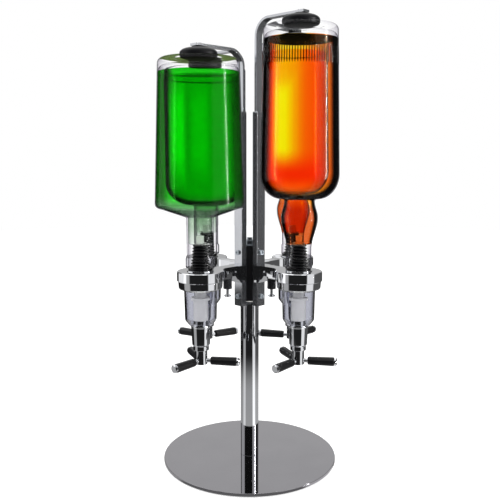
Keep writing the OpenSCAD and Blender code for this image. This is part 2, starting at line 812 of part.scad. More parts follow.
// Clear cup with a bevelled foot and a hole for the nozzle's spigot
module chamber() {
    w = chamber_wall;
    top_r = chamber_d / 2;
    low_r = chamber_low_d / 2;
    foot_r = chamber_foot_d / 2;
    hole_r = spigot_d / 2 + fit_gap;
    bevel_z = chamber_z + chamber_bevel;
    rotate_extrude()
        polygon([[hole_r, chamber_z], [foot_r, chamber_z], [low_r, bevel_z], [top_r, collar_z],
            [top_r, chamber_top], [top_r - w, chamber_top], [top_r - w, collar_z],
            [low_r - w, bevel_z + w / 2], [foot_r - w / 2, chamber_z + w], [hole_r, chamber_z + w]]);
}

// Pipe through the stopper, dose tube with its flange, and the sleeve that the valve works in
module dose_tube() {
    pipe_r = pipe_d / 2;
    sleeve_r = dose_sleeve_d / 2;
    flange_top = dose_flange_z + dose_flange_t;
    rotate_extrude()
        polygon([[valve_bore_r, dose_z], [sleeve_r, dose_z], [sleeve_r, dose_flange_z],
            [dose_flange_d / 2, dose_flange_z], [dose_flange_d / 2, flange_top],
            [dose_neck_d / 2, flange_top], [dose_neck_d / 2, chamber_top], [pipe_r, chamber_top],
            [pipe_r, pipe_top], [pipe_r - pipe_wall, pipe_top], [pipe_r - pipe_wall, flange_top - dose_roof],
            [valve_bore_r, dose_flange_z]]);
}

// Chrome cone with a stepped tip, bored for the lever's hub and the valve stem
module nozzle() {
    tip_top = nozzle_z + nozzle_tip_h;
    step_h = (nozzle_low_d - nozzle_tip_d) / 2;
    rotate_extrude()
        polygon([[nozzle_bore_r, nozzle_z], [nozzle_tip_d / 2, nozzle_z], [nozzle_tip_d / 2, tip_top],
            [nozzle_low_d / 2, tip_top + step_h], [nozzle_d / 2, nozzle_top], [spigot_d / 2, nozzle_top],
            [spigot_d / 2, spigot_top], [stem_bore_r, spigot_top], [stem_bore_r, nozzle_bore_top],
            [nozzle_bore_r, nozzle_bore_top]]);
}

// Black rubber plug with ribs that seal in the bottle's bore
module stopper() {
    foot_r = stopper_flange_d / 2;
    plug_z = stopper_z + stopper_flange_t;
    pipe_r = pipe_d / 2 + fit_gap;
    r0 = bore_r - fit_gap;
    r1 = stopper_tip_d / 2;
    pitch = stopper_len / rib_count;
    flank = rib_flank * pitch;
    ribs = [for (i = [0 : rib_count - 1])
        let (r = r0 + (r1 - r0) * i / (rib_count - 1), z = plug_z + i * pitch)
        each [[r - rib_depth, z], [r, z + flank], [r, z + 2 * flank], [r - rib_depth, z + 3 * flank]]];
    rotate_extrude()
        polygon(concat([[pipe_r, stopper_z], [foot_r, stopper_z], [foot_r, plug_z]], ribs,
            [[r1 - rib_depth, stopper_top], [pipe_r, stopper_top]]));
}

// Bush that hangs from the collar's tongue and guides the release pin
module release_bush() {
    r = latch_bush_d / 2;
    edge = latch_bush_edge;
    rotate_extrude()
        polygon([[latch_d / 2 + run_gap, latch_bush_z], [r - edge, latch_bush_z], [r, latch_bush_z + edge],
            [r, latch_bush_top - edge], [r - edge, latch_bush_top], [latch_room_r, latch_bush_top],
            [latch_room_r, latch_room_z], [latch_d / 2 + run_gap, latch_room_z]]);
}

// Pull pin with a foot disc to hold and a ring that its spring pushes on
module release_pin() {
    r = latch_d / 2;
    foot_r = latch_foot_d / 2;
    foot_top = latch_foot_z + latch_foot_t;
    ring_r = latch_room_r - slide_gap;
    edge = latch_edge;
    translate([latch_r, 0, 0])
        color("silver")
            rotate_extrude()
                polygon([[0, latch_foot_z], [foot_r - edge, latch_foot_z], [foot_r, latch_foot_z + edge],
                    [foot_r, foot_top - edge], [r, foot_top], [r, latch_ring_z], [ring_r, latch_ring_z],
                    [ring_r, latch_ring_z + latch_ring_t], [r, latch_ring_z + latch_ring_t],
                    [r, latch_top - edge], [r - edge, latch_top], [0, latch_top]]);
}

// Valve stem with its head at the top, which the lever pushes up
module valve() {
    r = valve_d / 2;
    color("whitesmoke")
        rotate_extrude()
            polygon([[0, stem_foot], [stem_d / 2, stem_foot], [stem_d / 2, valve_z - valve_edge],
                [r, valve_z], [r, valve_z + valve_t - valve_edge], [r - valve_edge, valve_z + valve_t],
                [0, valve_z + valve_t]]);
}

// Hub that slides in the nozzle, with three rods and their end caps
module lever(first) {
    rod_end = push_arm_len - cap_floor;
    cap_r = grip_d / 2 - cap_step;
    color("silver") {
        difference() {
            union() {
                translate([0, 0, hub_z])
                    cylinder(r = hub_d / 2, h = hub_len);
                for (a = arm_turns)
                    rotate([0, 0, first + a])
                        radial(push_rod_d, 0, rod_end, arm_z);
            }
            translate([0, 0, stem_foot - fit_gap])
                cylinder(r = stem_bore_r, h = hub_len);
            translate([0, 0, hub_z - over])
                cylinder(r = stem_d / 2, h = over + hub_dimple);
        }
        for (a = arm_turns)
            rotate([0, 0, first + a])
                translate([0, 0, arm_z])
                    rotate([0, 90, 0])
                        lever_cap(cap_r, rod_end);
    }
}

// Domed cap on the end of a rod
module lever_cap(r, rod_end) {
    rod_r = push_rod_d / 2 + fit_gap;
    from = push_arm_len - cap_len;
    rotate_extrude()
        polygon([[rod_r, from], [r, from], [r, rod_end], [r - cap_floor, push_arm_len], [0, push_arm_len],
            [0, rod_end + fit_gap], [rod_r, rod_end + fit_gap]]);
}

// Three black sleeves on the rods, a little thicker towards their outer ends
module grips(first) {
    rod_r = push_rod_d / 2 + fit_gap;
    end = push_arm_len - cap_len - fit_gap;
    r = grip_d / 2;
    low_r = r - grip_taper;
    color([0.05, 0.05, 0.05])
        for (a = arm_turns)
            rotate([0, 0, first + a])
                translate([0, 0, arm_z])
                    rotate([0, 90, 0])
                        rotate_extrude()
                            polygon([[rod_r, grip_from], [low_r - grip_edge, grip_from],
                                [low_r, grip_from + grip_edge], [r, end - grip_edge], [r - grip_edge, end],
                                [rod_r, end]]);
}

// Bottles

module bottle(kind) {
    h = bottle_h(kind);
    outer = outline(kind, 0);
    inner = outline(kind, glass_wall);
    dish = [[dish_d / 2 + dish_slope, h], [dish_d / 2, h - dish_depth], [0, h - dish_depth],
        [0, h - glass_base]];
    inside = [for (i = [len(inner) - 1 : -1 : 0]) inner[i]];
    color(kind == "amber" ? [0.9, 0.4, 0.1, 0.5] : [0.5, 0.9, 0.5, 0.5])
        translate([station_r, 0, mouth_z])
            rotate_extrude()
                polygon(concat(outer, dish, inside));
}

// What the bottle holds, from the stopper's tip up to the air under its base
module liquid(kind) {
    edge = outline(kind, glass_wall + fit_gap);
    low = stopper_top - mouth_z + fit_gap;
    high = bottle_h(kind) - glass_base - air_gap;
    pipe_r = pipe_d / 2 + fit_gap;
    translate([0, 0, mouth_z])
        difference() {
            rotate_extrude()
                intersection() {
                    polygon(concat(edge, [[0, edge[len(edge) - 1].y], [0, 0]]));
                    translate([0, low])
                        square([station_r, high - low]);
                }
            translate([0, 0, low - over])
                cylinder(r = pipe_r, h = pipe_out + over);
        }
}

// Flat bar: a leg in the rail, a bend and an arm over the bottle, with the rivet that holds the pad
module strap(kind) {
    z = strap_z(kind);
    bend_r = strap_in_r + strap_t + strap_bend_r;
    bend_z = z - strap_bend_r;
    end = station_r + strap_past;
    low = strap_low(kind);
    color("silver")
        difference() {
            union() {
                translate([strap_in_r, -strap_w / 2, low])
                    cube([strap_t, strap_w, bend_z - low]);
                translate([bend_r, strap_w / 2, bend_z])
                    rotate([90, 0, 0])
                        rotate_extrude(angle = 90, start = 90)
                            translate([strap_bend_r, 0])
                                square([strap_t, strap_w]);
                translate([bend_r, -strap_w / 2, z])
                    cube([end - bend_r, strap_w, strap_t]);
            }
            translate([station_r, 0, z - over])
                cylinder(r = rivet_d / 2 + fit_gap, h = strap_t + 2 * over);
        }
    color("silver")
        translate([station_r, 0, z])
            rivet();
}

// Rivet with a low domed head on the strap and its shank in the pad
module rivet() {
    head_r = rivet_head_d / 2;
    head_top = strap_t + rivet_head_h;
    shank = press_neck_h + press_pad_h / 2;
    rotate_extrude()
        polygon([[0, -shank], [rivet_d / 2, -shank], [rivet_d / 2, strap_t], [head_r, strap_t],
            [head_r - rivet_edge, head_top - rivet_edge], [0, head_top]]);
}

// Domed rubber pad with a neck under the strap
module pad(kind) {
    z = pad_z(kind);
    r = press_pad_d / 2;
    dome_z = z + press_pad_h;
    hole_r = rivet_d / 2 + fit_gap;
    hole_z = z + press_pad_h / 2 - 2 * fit_gap;
    neck_r = press_neck_d / 2;
    edge = press_pad_edge;
    color([0.1, 0.1, 0.1])
        translate([station_r, 0, 0])
            rotate_extrude()
                polygon(concat([[0, z], [r - edge, z]], to_upright([r - edge, z], [r, z + edge]),
                    to_level([r, z + press_pad_h / 2], [neck_r, dome_z]),
                    [[neck_r, dome_z], [neck_r, dome_z + press_neck_h], [hole_r, dome_z + press_neck_h],
                    [hole_r, hole_z], [0, hole_z]]));
}

// Groups of like pieces at the four stations

module release_bushes() {
    color("gray")
        for (s = STATIONS)
            at_station(s)
                translate([latch_r, 0, 0])
                    release_bush();
}

module stoppers() {
    color([0.04, 0.04, 0.04])
        for (s = STATIONS)
            on_axis(s)
                stopper();
}

module measure_collars() {
    color("silver")
        for (s = STATIONS)
            on_axis(s)
                collar();
}

module measure_chambers() {
    color([0.8, 0.82, 0.86, 0.4])
        for (s = STATIONS)
            on_axis(s)
                chamber();
}

module dose_tubes() {
    color("gainsboro")
        for (s = STATIONS)
            on_axis(s)
                dose_tube();
}

module nozzles() {
    color("silver")
        for (s = STATIONS)
            on_axis(s)
                nozzle();
}

module green_liquid() {
    color([0.1, 0.6, 0.1, 0.6])
        for (s = STATIONS)
            if (s[2] != "amber")
                on_axis(s)
                    liquid(s[2]);
}

module amber_liquid() {
    color([0.9, 0.35, 0.05, 0.6])
        for (s = STATIONS)
            if (s[2] == "amber")
                on_axis(s)
                    liquid(s[2]);
}

module valve_springs() {
    color("gray")
        for (s = STATIONS)
            on_axis(s)
                translate([0, 0, hub_top + fit_gap])
                    coil(valve_coil_d, valve_wire, valve_curls, valve_spring_len - 2 * fit_gap);
}

// Springs that draw the straps down, from the core's lobes to the straps' lower ends
module strap_springs() {
    color("gray")
        for (s = STATIONS)
            at_station(s)
                translate([strap_spring_r, 0, core_top + fit_gap])
                    coil(strap_coil_d, strap_wire, strap_curls, strap_low(s[2]) - core_top - 2 * fit_gap);
}

module release_springs() {
    color("gray")
        for (s = STATIONS)
            at_station(s)
                translate([latch_r, 0, latch_room_z + fit_gap])
                    coil(latch_coil_d, latch_wire, latch_curls, latch_ring_z - latch_room_z - 2 * fit_gap);
}

base_plate();
base_pad();
base_bolt();
column_tube();
foot_plug();
spindle();
thrust_washer();
top_nut();
hub_core();
hub_bush();
frame_screws();
release_bushes();
stoppers();
measure_collars();
measure_chambers();
dose_tubes();
nozzles();
green_liquid();
amber_liquid();
valve_springs();
strap_springs();
release_springs();
for (s = STATIONS) {
    at_station(s) rail();
    at_station(s) bracket();
    at_station(s) bottle(s[2]);
    at_station(s) strap(s[2]);
    at_station(s) pad(s[2]);
    on_axis(s) valve();
    on_axis(s) lever(s[3] - s[1]);
    on_axis(s) grips(s[3] - s[1]);
    at_station(s) release_pin();
}
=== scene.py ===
from math import atan2, cos, fabs, hypot, pi, radians, sin

import bmesh
import bpy
from mathutils import Matrix, Vector


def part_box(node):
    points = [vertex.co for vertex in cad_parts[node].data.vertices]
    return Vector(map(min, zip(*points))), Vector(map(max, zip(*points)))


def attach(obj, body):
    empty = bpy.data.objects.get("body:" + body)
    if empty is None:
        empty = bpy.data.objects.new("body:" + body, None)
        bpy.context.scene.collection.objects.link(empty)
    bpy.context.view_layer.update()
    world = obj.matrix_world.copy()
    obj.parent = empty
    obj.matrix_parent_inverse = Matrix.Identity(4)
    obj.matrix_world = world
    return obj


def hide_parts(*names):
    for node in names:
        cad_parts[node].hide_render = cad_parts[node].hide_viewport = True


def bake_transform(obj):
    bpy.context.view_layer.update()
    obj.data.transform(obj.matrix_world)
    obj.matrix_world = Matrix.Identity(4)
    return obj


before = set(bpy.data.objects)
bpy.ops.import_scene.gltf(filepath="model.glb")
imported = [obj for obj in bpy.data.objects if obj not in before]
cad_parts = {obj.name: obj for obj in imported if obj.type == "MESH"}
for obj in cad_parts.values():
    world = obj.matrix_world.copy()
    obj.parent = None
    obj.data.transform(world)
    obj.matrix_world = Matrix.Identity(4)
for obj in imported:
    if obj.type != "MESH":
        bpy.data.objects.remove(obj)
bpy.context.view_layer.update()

# Sizes are in millimetres, like the drawing, and MM takes them to the frame's metres
MM = 0.001
STATIONS = ("front_left", "front_right", "rear_right", "rear_left")
GREEN_FRONT, GREEN_REAR = "front_left", "rear_left"
AMBER = ("front_right", "rear_right")


# Places read from the frame

def span(node):
    """Lowest and highest corner of a node, in millimetres."""
    low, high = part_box(node)
    return low / MM, high / MM


def station_middle(name):
    low, high = span("pad_" + name)
    return (low + high) / 2


def spindle_turn(name):
    """The turn about the spindle that takes +X to a station."""
    middle = station_middle(name)
    return Matrix.Rotation(atan2(middle.y, middle.x), 4, "Z")


def bottle_axis(name):
    """Frame of a station: its origin on the bottle's axis at floor level, +X away from the spindle."""
    middle = station_middle(name)
    return Matrix.Translation((middle.x * MM, middle.y * MM, 0)) @ spindle_turn(name)


def reach(node):
    """Radius of what a node holds round a bottle's axis."""
    return span(node)[1].x - station_middle("front_right").x


# Outlines

def arc(start, corner, end, steps):
    """Points of a round turn from start to end, pulled towards the corner."""
    points = []
    for i in range(steps + 1):
        t = i / steps
        points.append(tuple((1 - t) ** 2 * a + 2 * t * (1 - t) * c + t * t * b
                            for a, c, b in zip(start, corner, end)))
    return points


def eased(corners, size, steps=4):
    """An outline with its corners rounded by a size, or less on a short edge. Points on the axis stay."""
    ring = min(corners[0][0], corners[-1][0]) > 0
    points = []
    for i, corner in enumerate(corners):
        if not ring and i in (0, len(corners) - 1):
            points.append(corner)
            continue
        before, after = Vector(corners[i - 1]), Vector(corners[(i + 1) % len(corners)])
        here = Vector(corner)
        run = min(size, 0.45 * (before - here).length, 0.45 * (after - here).length)
        start = here + (before - here).normalized() * run
        end = here + (after - here).normalized() * run
        points += arc(start, here, end, steps)
    return points


CURVE_STEPS = 18


def curve(p, q, across, up):
    """Points from p up to, but without, q. Two rules turn the way along it into shares across and up."""
    shares = [i / CURVE_STEPS for i in range(CURVE_STEPS)]
    return [(p[0] + (q[0] - p[0]) * across(t), p[1] + (q[1] - p[1]) * up(t)) for t in shares]


def slow_start(t):
    return 1 - cos(pi / 2 * t)


def slow_end(t):
    return sin(pi / 2 * t)


def ess(p, q):
    """An S that starts and ends upright."""
    return curve(p, q, lambda t: (1 - cos(pi * t)) / 2, lambda t: t)


def to_level(p, q):
    """A quarter turn from upright to level."""
    return curve(p, q, slow_start, slow_end)


def to_upright(p, q):
    """A quarter turn from level to upright."""
    return curve(p, q, slow_end, slow_start)


class Shape:
    """Points and faces of one piece, given in millimetres and placed in the frame."""

    def __init__(self):
        self.points = []
        self.faces = []

    def add(self, points, faces, place=Matrix()):
        first = len(self.points)
        self.points += [place @ (Vector(p) * MM) for p in points]
        self.faces += [[first + i for i in face] for face in faces]

    def turn(self, outline, place=Matrix(), sides=96, ripple=None):
        """Turns an outline of (radius, height) about Z. Ends off the axis are joined, which makes a ring."""
        area = sum(a[0] * b[1] - b[0] * a[1] for a, b in zip(outline, outline[1:] + outline[:1]))
        if area < 0:
            outline = outline[::-1]
        points, rows = [], []
        for r, z in outline:
            row = []
            for j in range(1 if r < 1e-6 else sides):
                a = 2 * pi * j / sides
                wide = ripple(r, z, a) if ripple else r
                row.append(len(points))
                points.append((wide * cos(a), wide * sin(a), z))
            rows.append(row)
        ring = len(rows[0]) > 1 and len(rows[-1]) > 1
        faces = []
        for low, high in zip(rows, rows[1:] + (rows[:1] if ring else [])):
            for j in range(sides):
                k = (j + 1) % sides
                corners = [low[j % len(low)], low[k % len(low)], high[k % len(high)], high[j % len(high)]]
                face = list(dict.fromkeys(corners))
                if len(face) > 2:
                    faces.append(face)
        self.add(points, faces, place)

    def coil(self, coil_d, wire, curls, z0, z1, place=Matrix(), sides=10, steps=28):
        """A round wire wound about Z from z0 to z1, with flat ends."""
        rings = curls * steps
        rise = z1 - z0 - wire
        points, faces = [], []
        for i in range(rings + 1):
            a = 2 * pi * i / steps
            for j in range(sides):
                b = 2 * pi * j / sides
                r = coil_d / 2 + wire / 2 * cos(b)
                points.append((r * cos(a), r * sin(a), z0 + wire / 2 + rise * i / rings + wire / 2 * sin(b)))
        for i in range(rings):
            for j in range(sides):
                k = (j + 1) % sides
                faces.append((i * sides + j, (i + 1) * sides + j, (i + 1) * sides + k, i * sides + k))
        faces.append(tuple(range(sides)))
        faces.append(tuple(reversed(range(rings * sides, (rings + 1) * sides))))
        self.add(points, faces, place)

    def piece(self, name, material, body, slot, *nodes):
        """The piece as an object that rides on a body and stands for some nodes."""
        mesh = bpy.data.meshes.new(name)
        mesh.from_pydata(self.points, [], self.faces)
        return finished(name, mesh, material, body, slot, *nodes)


CLEAR_SLOTS = ("clear_glass", "clear_plastic", "green_liquid", "amber_liquid")
FLAT_WEIGHT = 80


def finished(name, mesh, material, body, slot, *nodes):
    """Makes a mesh a piece. Clear pieces let the light through and stay out of what the metal mirrors."""
    mesh.materials.clear()
    mesh.materials.append(material)
    mesh.shade_smooth()
    made = bpy.data.objects.new(name, mesh)
    bpy.context.scene.collection.objects.link(made)
    normals = made.modifiers.new("flat faces stay flat", "WEIGHTED_NORMAL")
    normals.weight = FLAT_WEIGHT
    if slot in CLEAR_SLOTS:
        made.visible_shadow = made.visible_diffuse = made.visible_glossy = False
    if body:
        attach(made, body)
    if nodes:
        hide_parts(*nodes)
    return made


SHARP_EDGE = radians(28)
FLAT_FACE = radians(0.6)
SAME_SPOT = 0.004


def softened(node, name, material, body, slot, width, shape=None):
    """A copy of a node, given another shape first if need be, with its sharp edges broken by a small round."""
    form = bmesh.new()
    form.from_mesh(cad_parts[node].data)
    bmesh.ops.remove_doubles(form, verts=form.verts, dist=SAME_SPOT * MM)
    bmesh.ops.dissolve_limit(form, angle_limit=FLAT_FACE, verts=form.verts, edges=form.edges)
    if shape:
        shape(form)
    sharp = [e for e in form.edges if len(e.link_faces) == 2 and fabs(e.calc_face_angle(0)) > SHARP_EDGE]
    bmesh.ops.bevel(form, geom=sharp, offset=width * MM, segments=3, profile=0.5, affect="EDGES",
                    clamp_overlap=True, harden_normals=False)
    mesh = bpy.data.meshes.new(name)
    form.to_mesh(mesh)
    form.free()
    return finished(name, mesh, material, body, slot, node)


# Finishes

class Wire:
    """An output socket of a node tree. Arithmetic on it adds Math nodes."""

    def __init__(self, tree, socket):
        self.tree = tree
        self.socket = socket

    def out(self, name):
        """Another output of the same node."""
        return Wire(self.tree, self.socket.node.outputs[name])

    def math(self, operation, first, second):
        return self.tree.node("Math", {"operation": operation}, {0: first, 1: second})

    def __add__(self, other):
        return self.math("ADD", self, other)

    def __radd__(self, other):
        return self.math("ADD", other, self)

    def __sub__(self, other):
        return self.math("SUBTRACT", self, other)

    def __rsub__(self, other):
        return self.math("SUBTRACT", other, self)

    def __mul__(self, other):
        return self.math("MULTIPLY", self, other)

    def __rmul__(self, other):
        return self.math("MULTIPLY", other, self)

    def __pow__(self, other):
        return self.math("POWER", self, other)


class Tree:
    """The nodes of one material or world."""

    def __init__(self, owner):
        owner.use_nodes = True
        self.nodes = owner.node_tree.nodes
        self.links = owner.node_tree.links
        self.nodes.clear()

    def node(self, kind, settings=None, sockets=None, out=0):
        """Adds a node, with its settings first and then its sockets, and returns one of its outputs."""
        made = self.nodes.new("ShaderNode" + kind)
        for name, value in (settings or {}).items():
            setattr(made, name, value)
        for name, value in (sockets or {}).items():
            if isinstance(value, Wire):
                self.links.new(value.socket, made.inputs[name])
            else:
                made.inputs[name].default_value = value
        return Wire(self, made.outputs[out]) if made.outputs else None

    def place(self, stretch=(1, 1, 1)):
        """Where a point of the piece is, in millimetres, with each axis squeezed by its stretch."""
        here = self.node("TexCoord", out="Object")
        scale = [1 / MM / s for s in stretch]
        return self.node("VectorMath", {"operation": "MULTIPLY"}, {0: here, 1: scale})

    def grain(self, size, stretch=(1, 1, 1), rough=0.5, layers=3):
        """Soft random grain from 0 to 1, with spots of about a size in millimetres."""
        return self.node("TexNoise", {}, {"Vector": self.place(stretch), "Scale": 1 / size, "Detail": layers,
                                          "Roughness": rough})

    def ramp(self, value, low, high, start=0.0, end=1.0):
        """A smooth step of a value from start at low to end at high."""
        return self.node("MapRange", {"interpolation_type": "SMOOTHSTEP"},
                         {"Value": value, "From Min": low, "From Max": high, "To Min": start, "To Max": end})

    def mix(self, share, first, second):
        """A colour between two, by a share."""
        return self.node("Mix", {"data_type": "RGBA"}, {"Factor": share, 6: first, 7: second}, out=2)

    def tint(self, share, first, second):
        """A colour between two given as red, green and blue."""
        return self.mix(share, (*first, 1), (*second, 1))

    def height(self):
        """How high a point of the piece is, in millimetres."""
        return self.node("SeparateXYZ", {}, {0: self.place()}, out="Z")

    def edge_on(self, start, end):
        """0 where the surface faces the eye and 1 where it is seen edge on, to paint the shade that glass and
        liquids show there.
        """
        facing = self.node("LayerWeight", {}, {"Blend": 0.5}, out="Facing")
        return self.ramp(facing, start, end)

    def absolute(self, value):
        return self.node("Math", {"operation": "ABSOLUTE"}, {0: value})

    def upright(self):
        """1 on the sides of a piece and 0 on its level faces."""
        normal = self.node("SeparateXYZ", {}, {0: self.node("NewGeometry", out="Normal")}, out="Z")
        return self.ramp(self.absolute(normal), 0.75, 0.92, 1.0, 0.0)

    def relief(self, height, depth):
        """A bump normal from a height of 0 to 1, with its depth in millimetres."""
        return self.node("Bump", {}, {"Height": height, "Strength": 1.0, "Distance": depth * MM})


def finish(name, detail, **fixed):
    """A material: fixed numbers go straight on the shader, and detail gives what varies over the surface."""
    material = bpy.data.materials.new(name)
    tree = Tree(material)
    sockets = {key.replace("_", " "): value for key, value in fixed.items()}
    sockets.update(detail(tree))
    shader = tree.node("BsdfPrincipled", {}, sockets)
    tree.node("OutputMaterial", {}, {"Surface": shader})
    return material


def chrome_detail(tree):
    haze = tree.grain(34, layers=4)
    lines = tree.grain(0.5, stretch=(1, 1, 30))
    return {
        "Base Color": tree.tint(haze, (0.84, 0.85, 0.87), (0.72, 0.73, 0.76)),
        "Roughness": 0.025 + 0.07 * haze ** 3 + 0.02 * lines,
        "Normal": tree.relief(lines, 0.002),
    }


def satin_detail(tree, blur):
    """Steel brushed along its length, which blurs what it mirrors."""
    haze = tree.grain(26, layers=4)
    lines = tree.grain(0.35, stretch=(1, 1, 60))
    return {
        "Base Color": tree.tint(haze, (0.62, 0.63, 0.66), (0.52, 0.53, 0.56)),
        "Roughness": blur + 0.03 * lines + 0.015 * haze,
        "Normal": tree.relief(lines, 0.004),
    }


def blackened_detail(tree):
    haze = tree.grain(4)
    return {
        "Base Color": tree.tint(haze, (0.05, 0.05, 0.055), (0.10, 0.10, 0.11)),
        "Roughness": 0.16 + 0.12 * haze,
    }


def dark_mirror_detail(tree):
    haze = tree.grain(45, layers=5)
    dust = tree.ramp(tree.grain(0.7), 0.66, 0.8)
    return {
        "Base Color": tree.tint(haze, (0.285, 0.28, 0.295), (0.245, 0.24, 0.255)),
        "Roughness": 0.03 + 0.08 * haze ** 3 + 0.05 * dust,
        "Normal": tree.relief(tree.grain(60, layers=1), 0.01),
    }


def zinc_detail(tree):
    lines = tree.grain(0.4, stretch=(1, 1, 0.1))
    return {
        "Base Color": tree.tint(tree.grain(5), (0.42, 0.47, 0.52), (0.58, 0.62, 0.66)),
        "Roughness": 0.24 + 0.14 * lines,
        "Normal": tree.relief(lines, 0.01),
    }


def rubber_detail(tree):
    bloom = tree.grain(9, layers=4)
    grit = tree.grain(0.25)
    return {
        "Base Color": tree.tint(bloom, (0.003, 0.003, 0.004), (0.009, 0.009, 0.011)),
        "Roughness": 0.32 + 0.12 * bloom,
        "Normal": tree.relief(grit, 0.012),
    }


def stopper_detail(tree):
    """Black rubber, lighter on the crests of the ribs: partly rubbed grey wear, partly a painted highlight."""
    low, high = span("stoppers")
    foot = low.z + STOPPER_FLANGE_T
    pitch = (high.z - foot) / RIBS
    phase = (tree.height() - foot - 0.65 * pitch) * (2 * pi / pitch)
    crest = tree.ramp(tree.node("Math", {"operation": "COSINE"}, {0: phase}), 0.0, 0.9)
    # The lighter crests are a painted highlight, broken into patches like rubbed wear.
    rubbed_and_highlit = crest * tree.ramp(tree.grain(2.5), 0.3, 0.6)
    return {
        "Base Color": tree.tint(rubbed_and_highlit, (0.001, 0.001, 0.0015), (0.006, 0.006, 0.007)),
        "Roughness": 0.30 - 0.18 * crest,
    }


def moulded_detail(tree):
    sheen = tree.grain(12)
    grit = tree.grain(0.35)
    return {
        "Base Color": tree.tint(sheen, (0.003, 0.003, 0.004), (0.009, 0.009, 0.010)),
        "Roughness": 0.24 + 0.16 * grit,
        "Normal": tree.relief(grit, 0.02),
    }


def nylon_detail(tree):
    return {
        "Base Color": tree.tint(tree.grain(3), (0.78, 0.77, 0.73), (0.86, 0.85, 0.82)),
        "Roughness": 0.38 + 0.14 * tree.grain(0.8),
    }


def bronze_detail(tree):
    return {
        "Base Color": tree.tint(tree.grain(4), (0.46, 0.29, 0.11), (0.58, 0.38, 0.17)),
        "Roughness": 0.28 + 0.16 * tree.grain(0.6),
    }


def glass_detail(tree, edge, name, shine):
    """Clear glass, a little uneven, with painted grey and then dark shade where it is seen edge on, but for
    the level faces of its base.
    """
    base = span("bottle_" + name)[1].z - GLASS_BASE
    side = 1 - (1 - tree.upright()) * tree.ramp(tree.height(), base - 6, base - 4)
    clear = tree.tint(tree.grain(60, layers=1), (0.972, 0.976, 0.980), (0.992, 0.992, 0.994))
    # Painted shade: lavender grey and then near black towards the edges as seen, standing in for the dark
    # surroundings real glass bends into view.
    clear = tree.mix(tree.edge_on(*GREY_SHADE_EDGE) * side, clear, GLASS_GREY_SHADE)
    return {
        "Base Color": tree.mix(tree.edge_on(*edge) * side, clear, GLASS_DARK),
        "Coat Weight": shine * side,
        "Normal": tree.relief(tree.grain(38, stretch=(1, 1, 2.5), layers=1), 0.008),
    }


def olive_base_detail(tree):
    """Clear glass whose base face carries a painted dark reflection of the green liquid when it is seen nearly
    edge on.
    """
    plain = glass_detail(tree, THIN_EDGE, GREEN_FRONT, GLASS_SHINE)
    dish = span("bottle_" + GREEN_FRONT)[1].z - DISH_DEPTH
    face = (1 - tree.upright()) * tree.ramp(tree.height(), dish - 0.7, dish - 0.3)
    # Painted reflection: the dish face turns olive as it is seen edge on.
    plain["Base Color"] = tree.mix(face * tree.edge_on(*OLIVE_EDGE), plain["Base Color"], OLIVE)
    return plain


def fluted_detail(tree):
    """Clear glass with a band of short moulded flutes, with painted shade in the valleys of its front half."""
    way = tree.node("SeparateXYZ", {}, {0: tree.place()})
    middle = station_middle(AMBER[0])
    across = way - middle.x
    along = tree.absolute(way.out("Y")) - fabs(middle.y)
    turn = tree.node("Math", {"operation": "ARCTAN2"}, {0: along, 1: across})
    wave = tree.node("Math", {"operation": "COSINE"}, {0: FLUTES * turn})
    low, high = (span("bottle_" + AMBER[0])[1].z - up for up in (FLUTE_HIGH, FLUTE_LOW))
    band = tree.ramp(way.out("Z"), low, low + 3) * tree.ramp(way.out("Z"), high - 2, high, 1.0, 0.0)
    outside = tree.ramp((across * across + along * along) ** 0.5, AMBER_FOOT_R - 2, AMBER_FOOT_R - 1)
    front = tree.ramp(along, -8, 0)
    # Painted shade in the flute valleys, on the front half only.
    valley = tree.ramp(wave, 0.1, 0.7) * band * outside * front
    plain = glass_detail(tree, THIN_EDGE, AMBER[0], FLUTED_SHINE)
    plain["Base Color"] = tree.mix(valley, plain["Base Color"], FLUTE_SHADE)
    return plain


def chamber_detail(tree):
    flow = tree.grain(14, stretch=(1, 1, 3), layers=2)
    clear = tree.tint(flow, (0.62, 0.63, 0.68), (0.68, 0.685, 0.735))
    return {
        # Painted shade: the clear plastic goes grey towards its sides as seen edge on.
        "Base Color": tree.mix(tree.edge_on(*PLASTIC_EDGE) * tree.upright(), clear, PLASTIC_EDGE_SHADE),
        "Roughness": 0.03 + 0.06 * flow,
        "Normal": tree.relief(flow, 0.03),
    }


def milky_detail(tree):
    cloud = tree.grain(6)
    return {
        "Base Color": tree.tint(cloud, (0.95, 0.945, 0.93), (0.98, 0.975, 0.965)),
        "Roughness": 0.30 + 0.15 * cloud,
    }


def green_detail(tree, edge=None):
    """Pale in the thin necks, full in the wide bodies, and with a painted darker shade towards the sides, seen
    edge on, if an edge is given.
    """
    full = (*GREEN_FULL, 1)
    if edge:
        # Painted shade: darker green where the liquid is seen edge on.
        full = tree.mix(tree.edge_on(*edge) * tree.upright(), full, (*GREEN_EDGE_SHADE, 1))
    high = tree.height()
    pale = tree.tint(tree.ramp(high, GREEN_CLEAR_Z, GREEN_PALE_Z), GREEN_CLEAR, GREEN_PALE)
    return {"Base Color": tree.mix(tree.ramp(high, GREEN_PALE_Z, GREEN_FULL_Z), pale, full)}


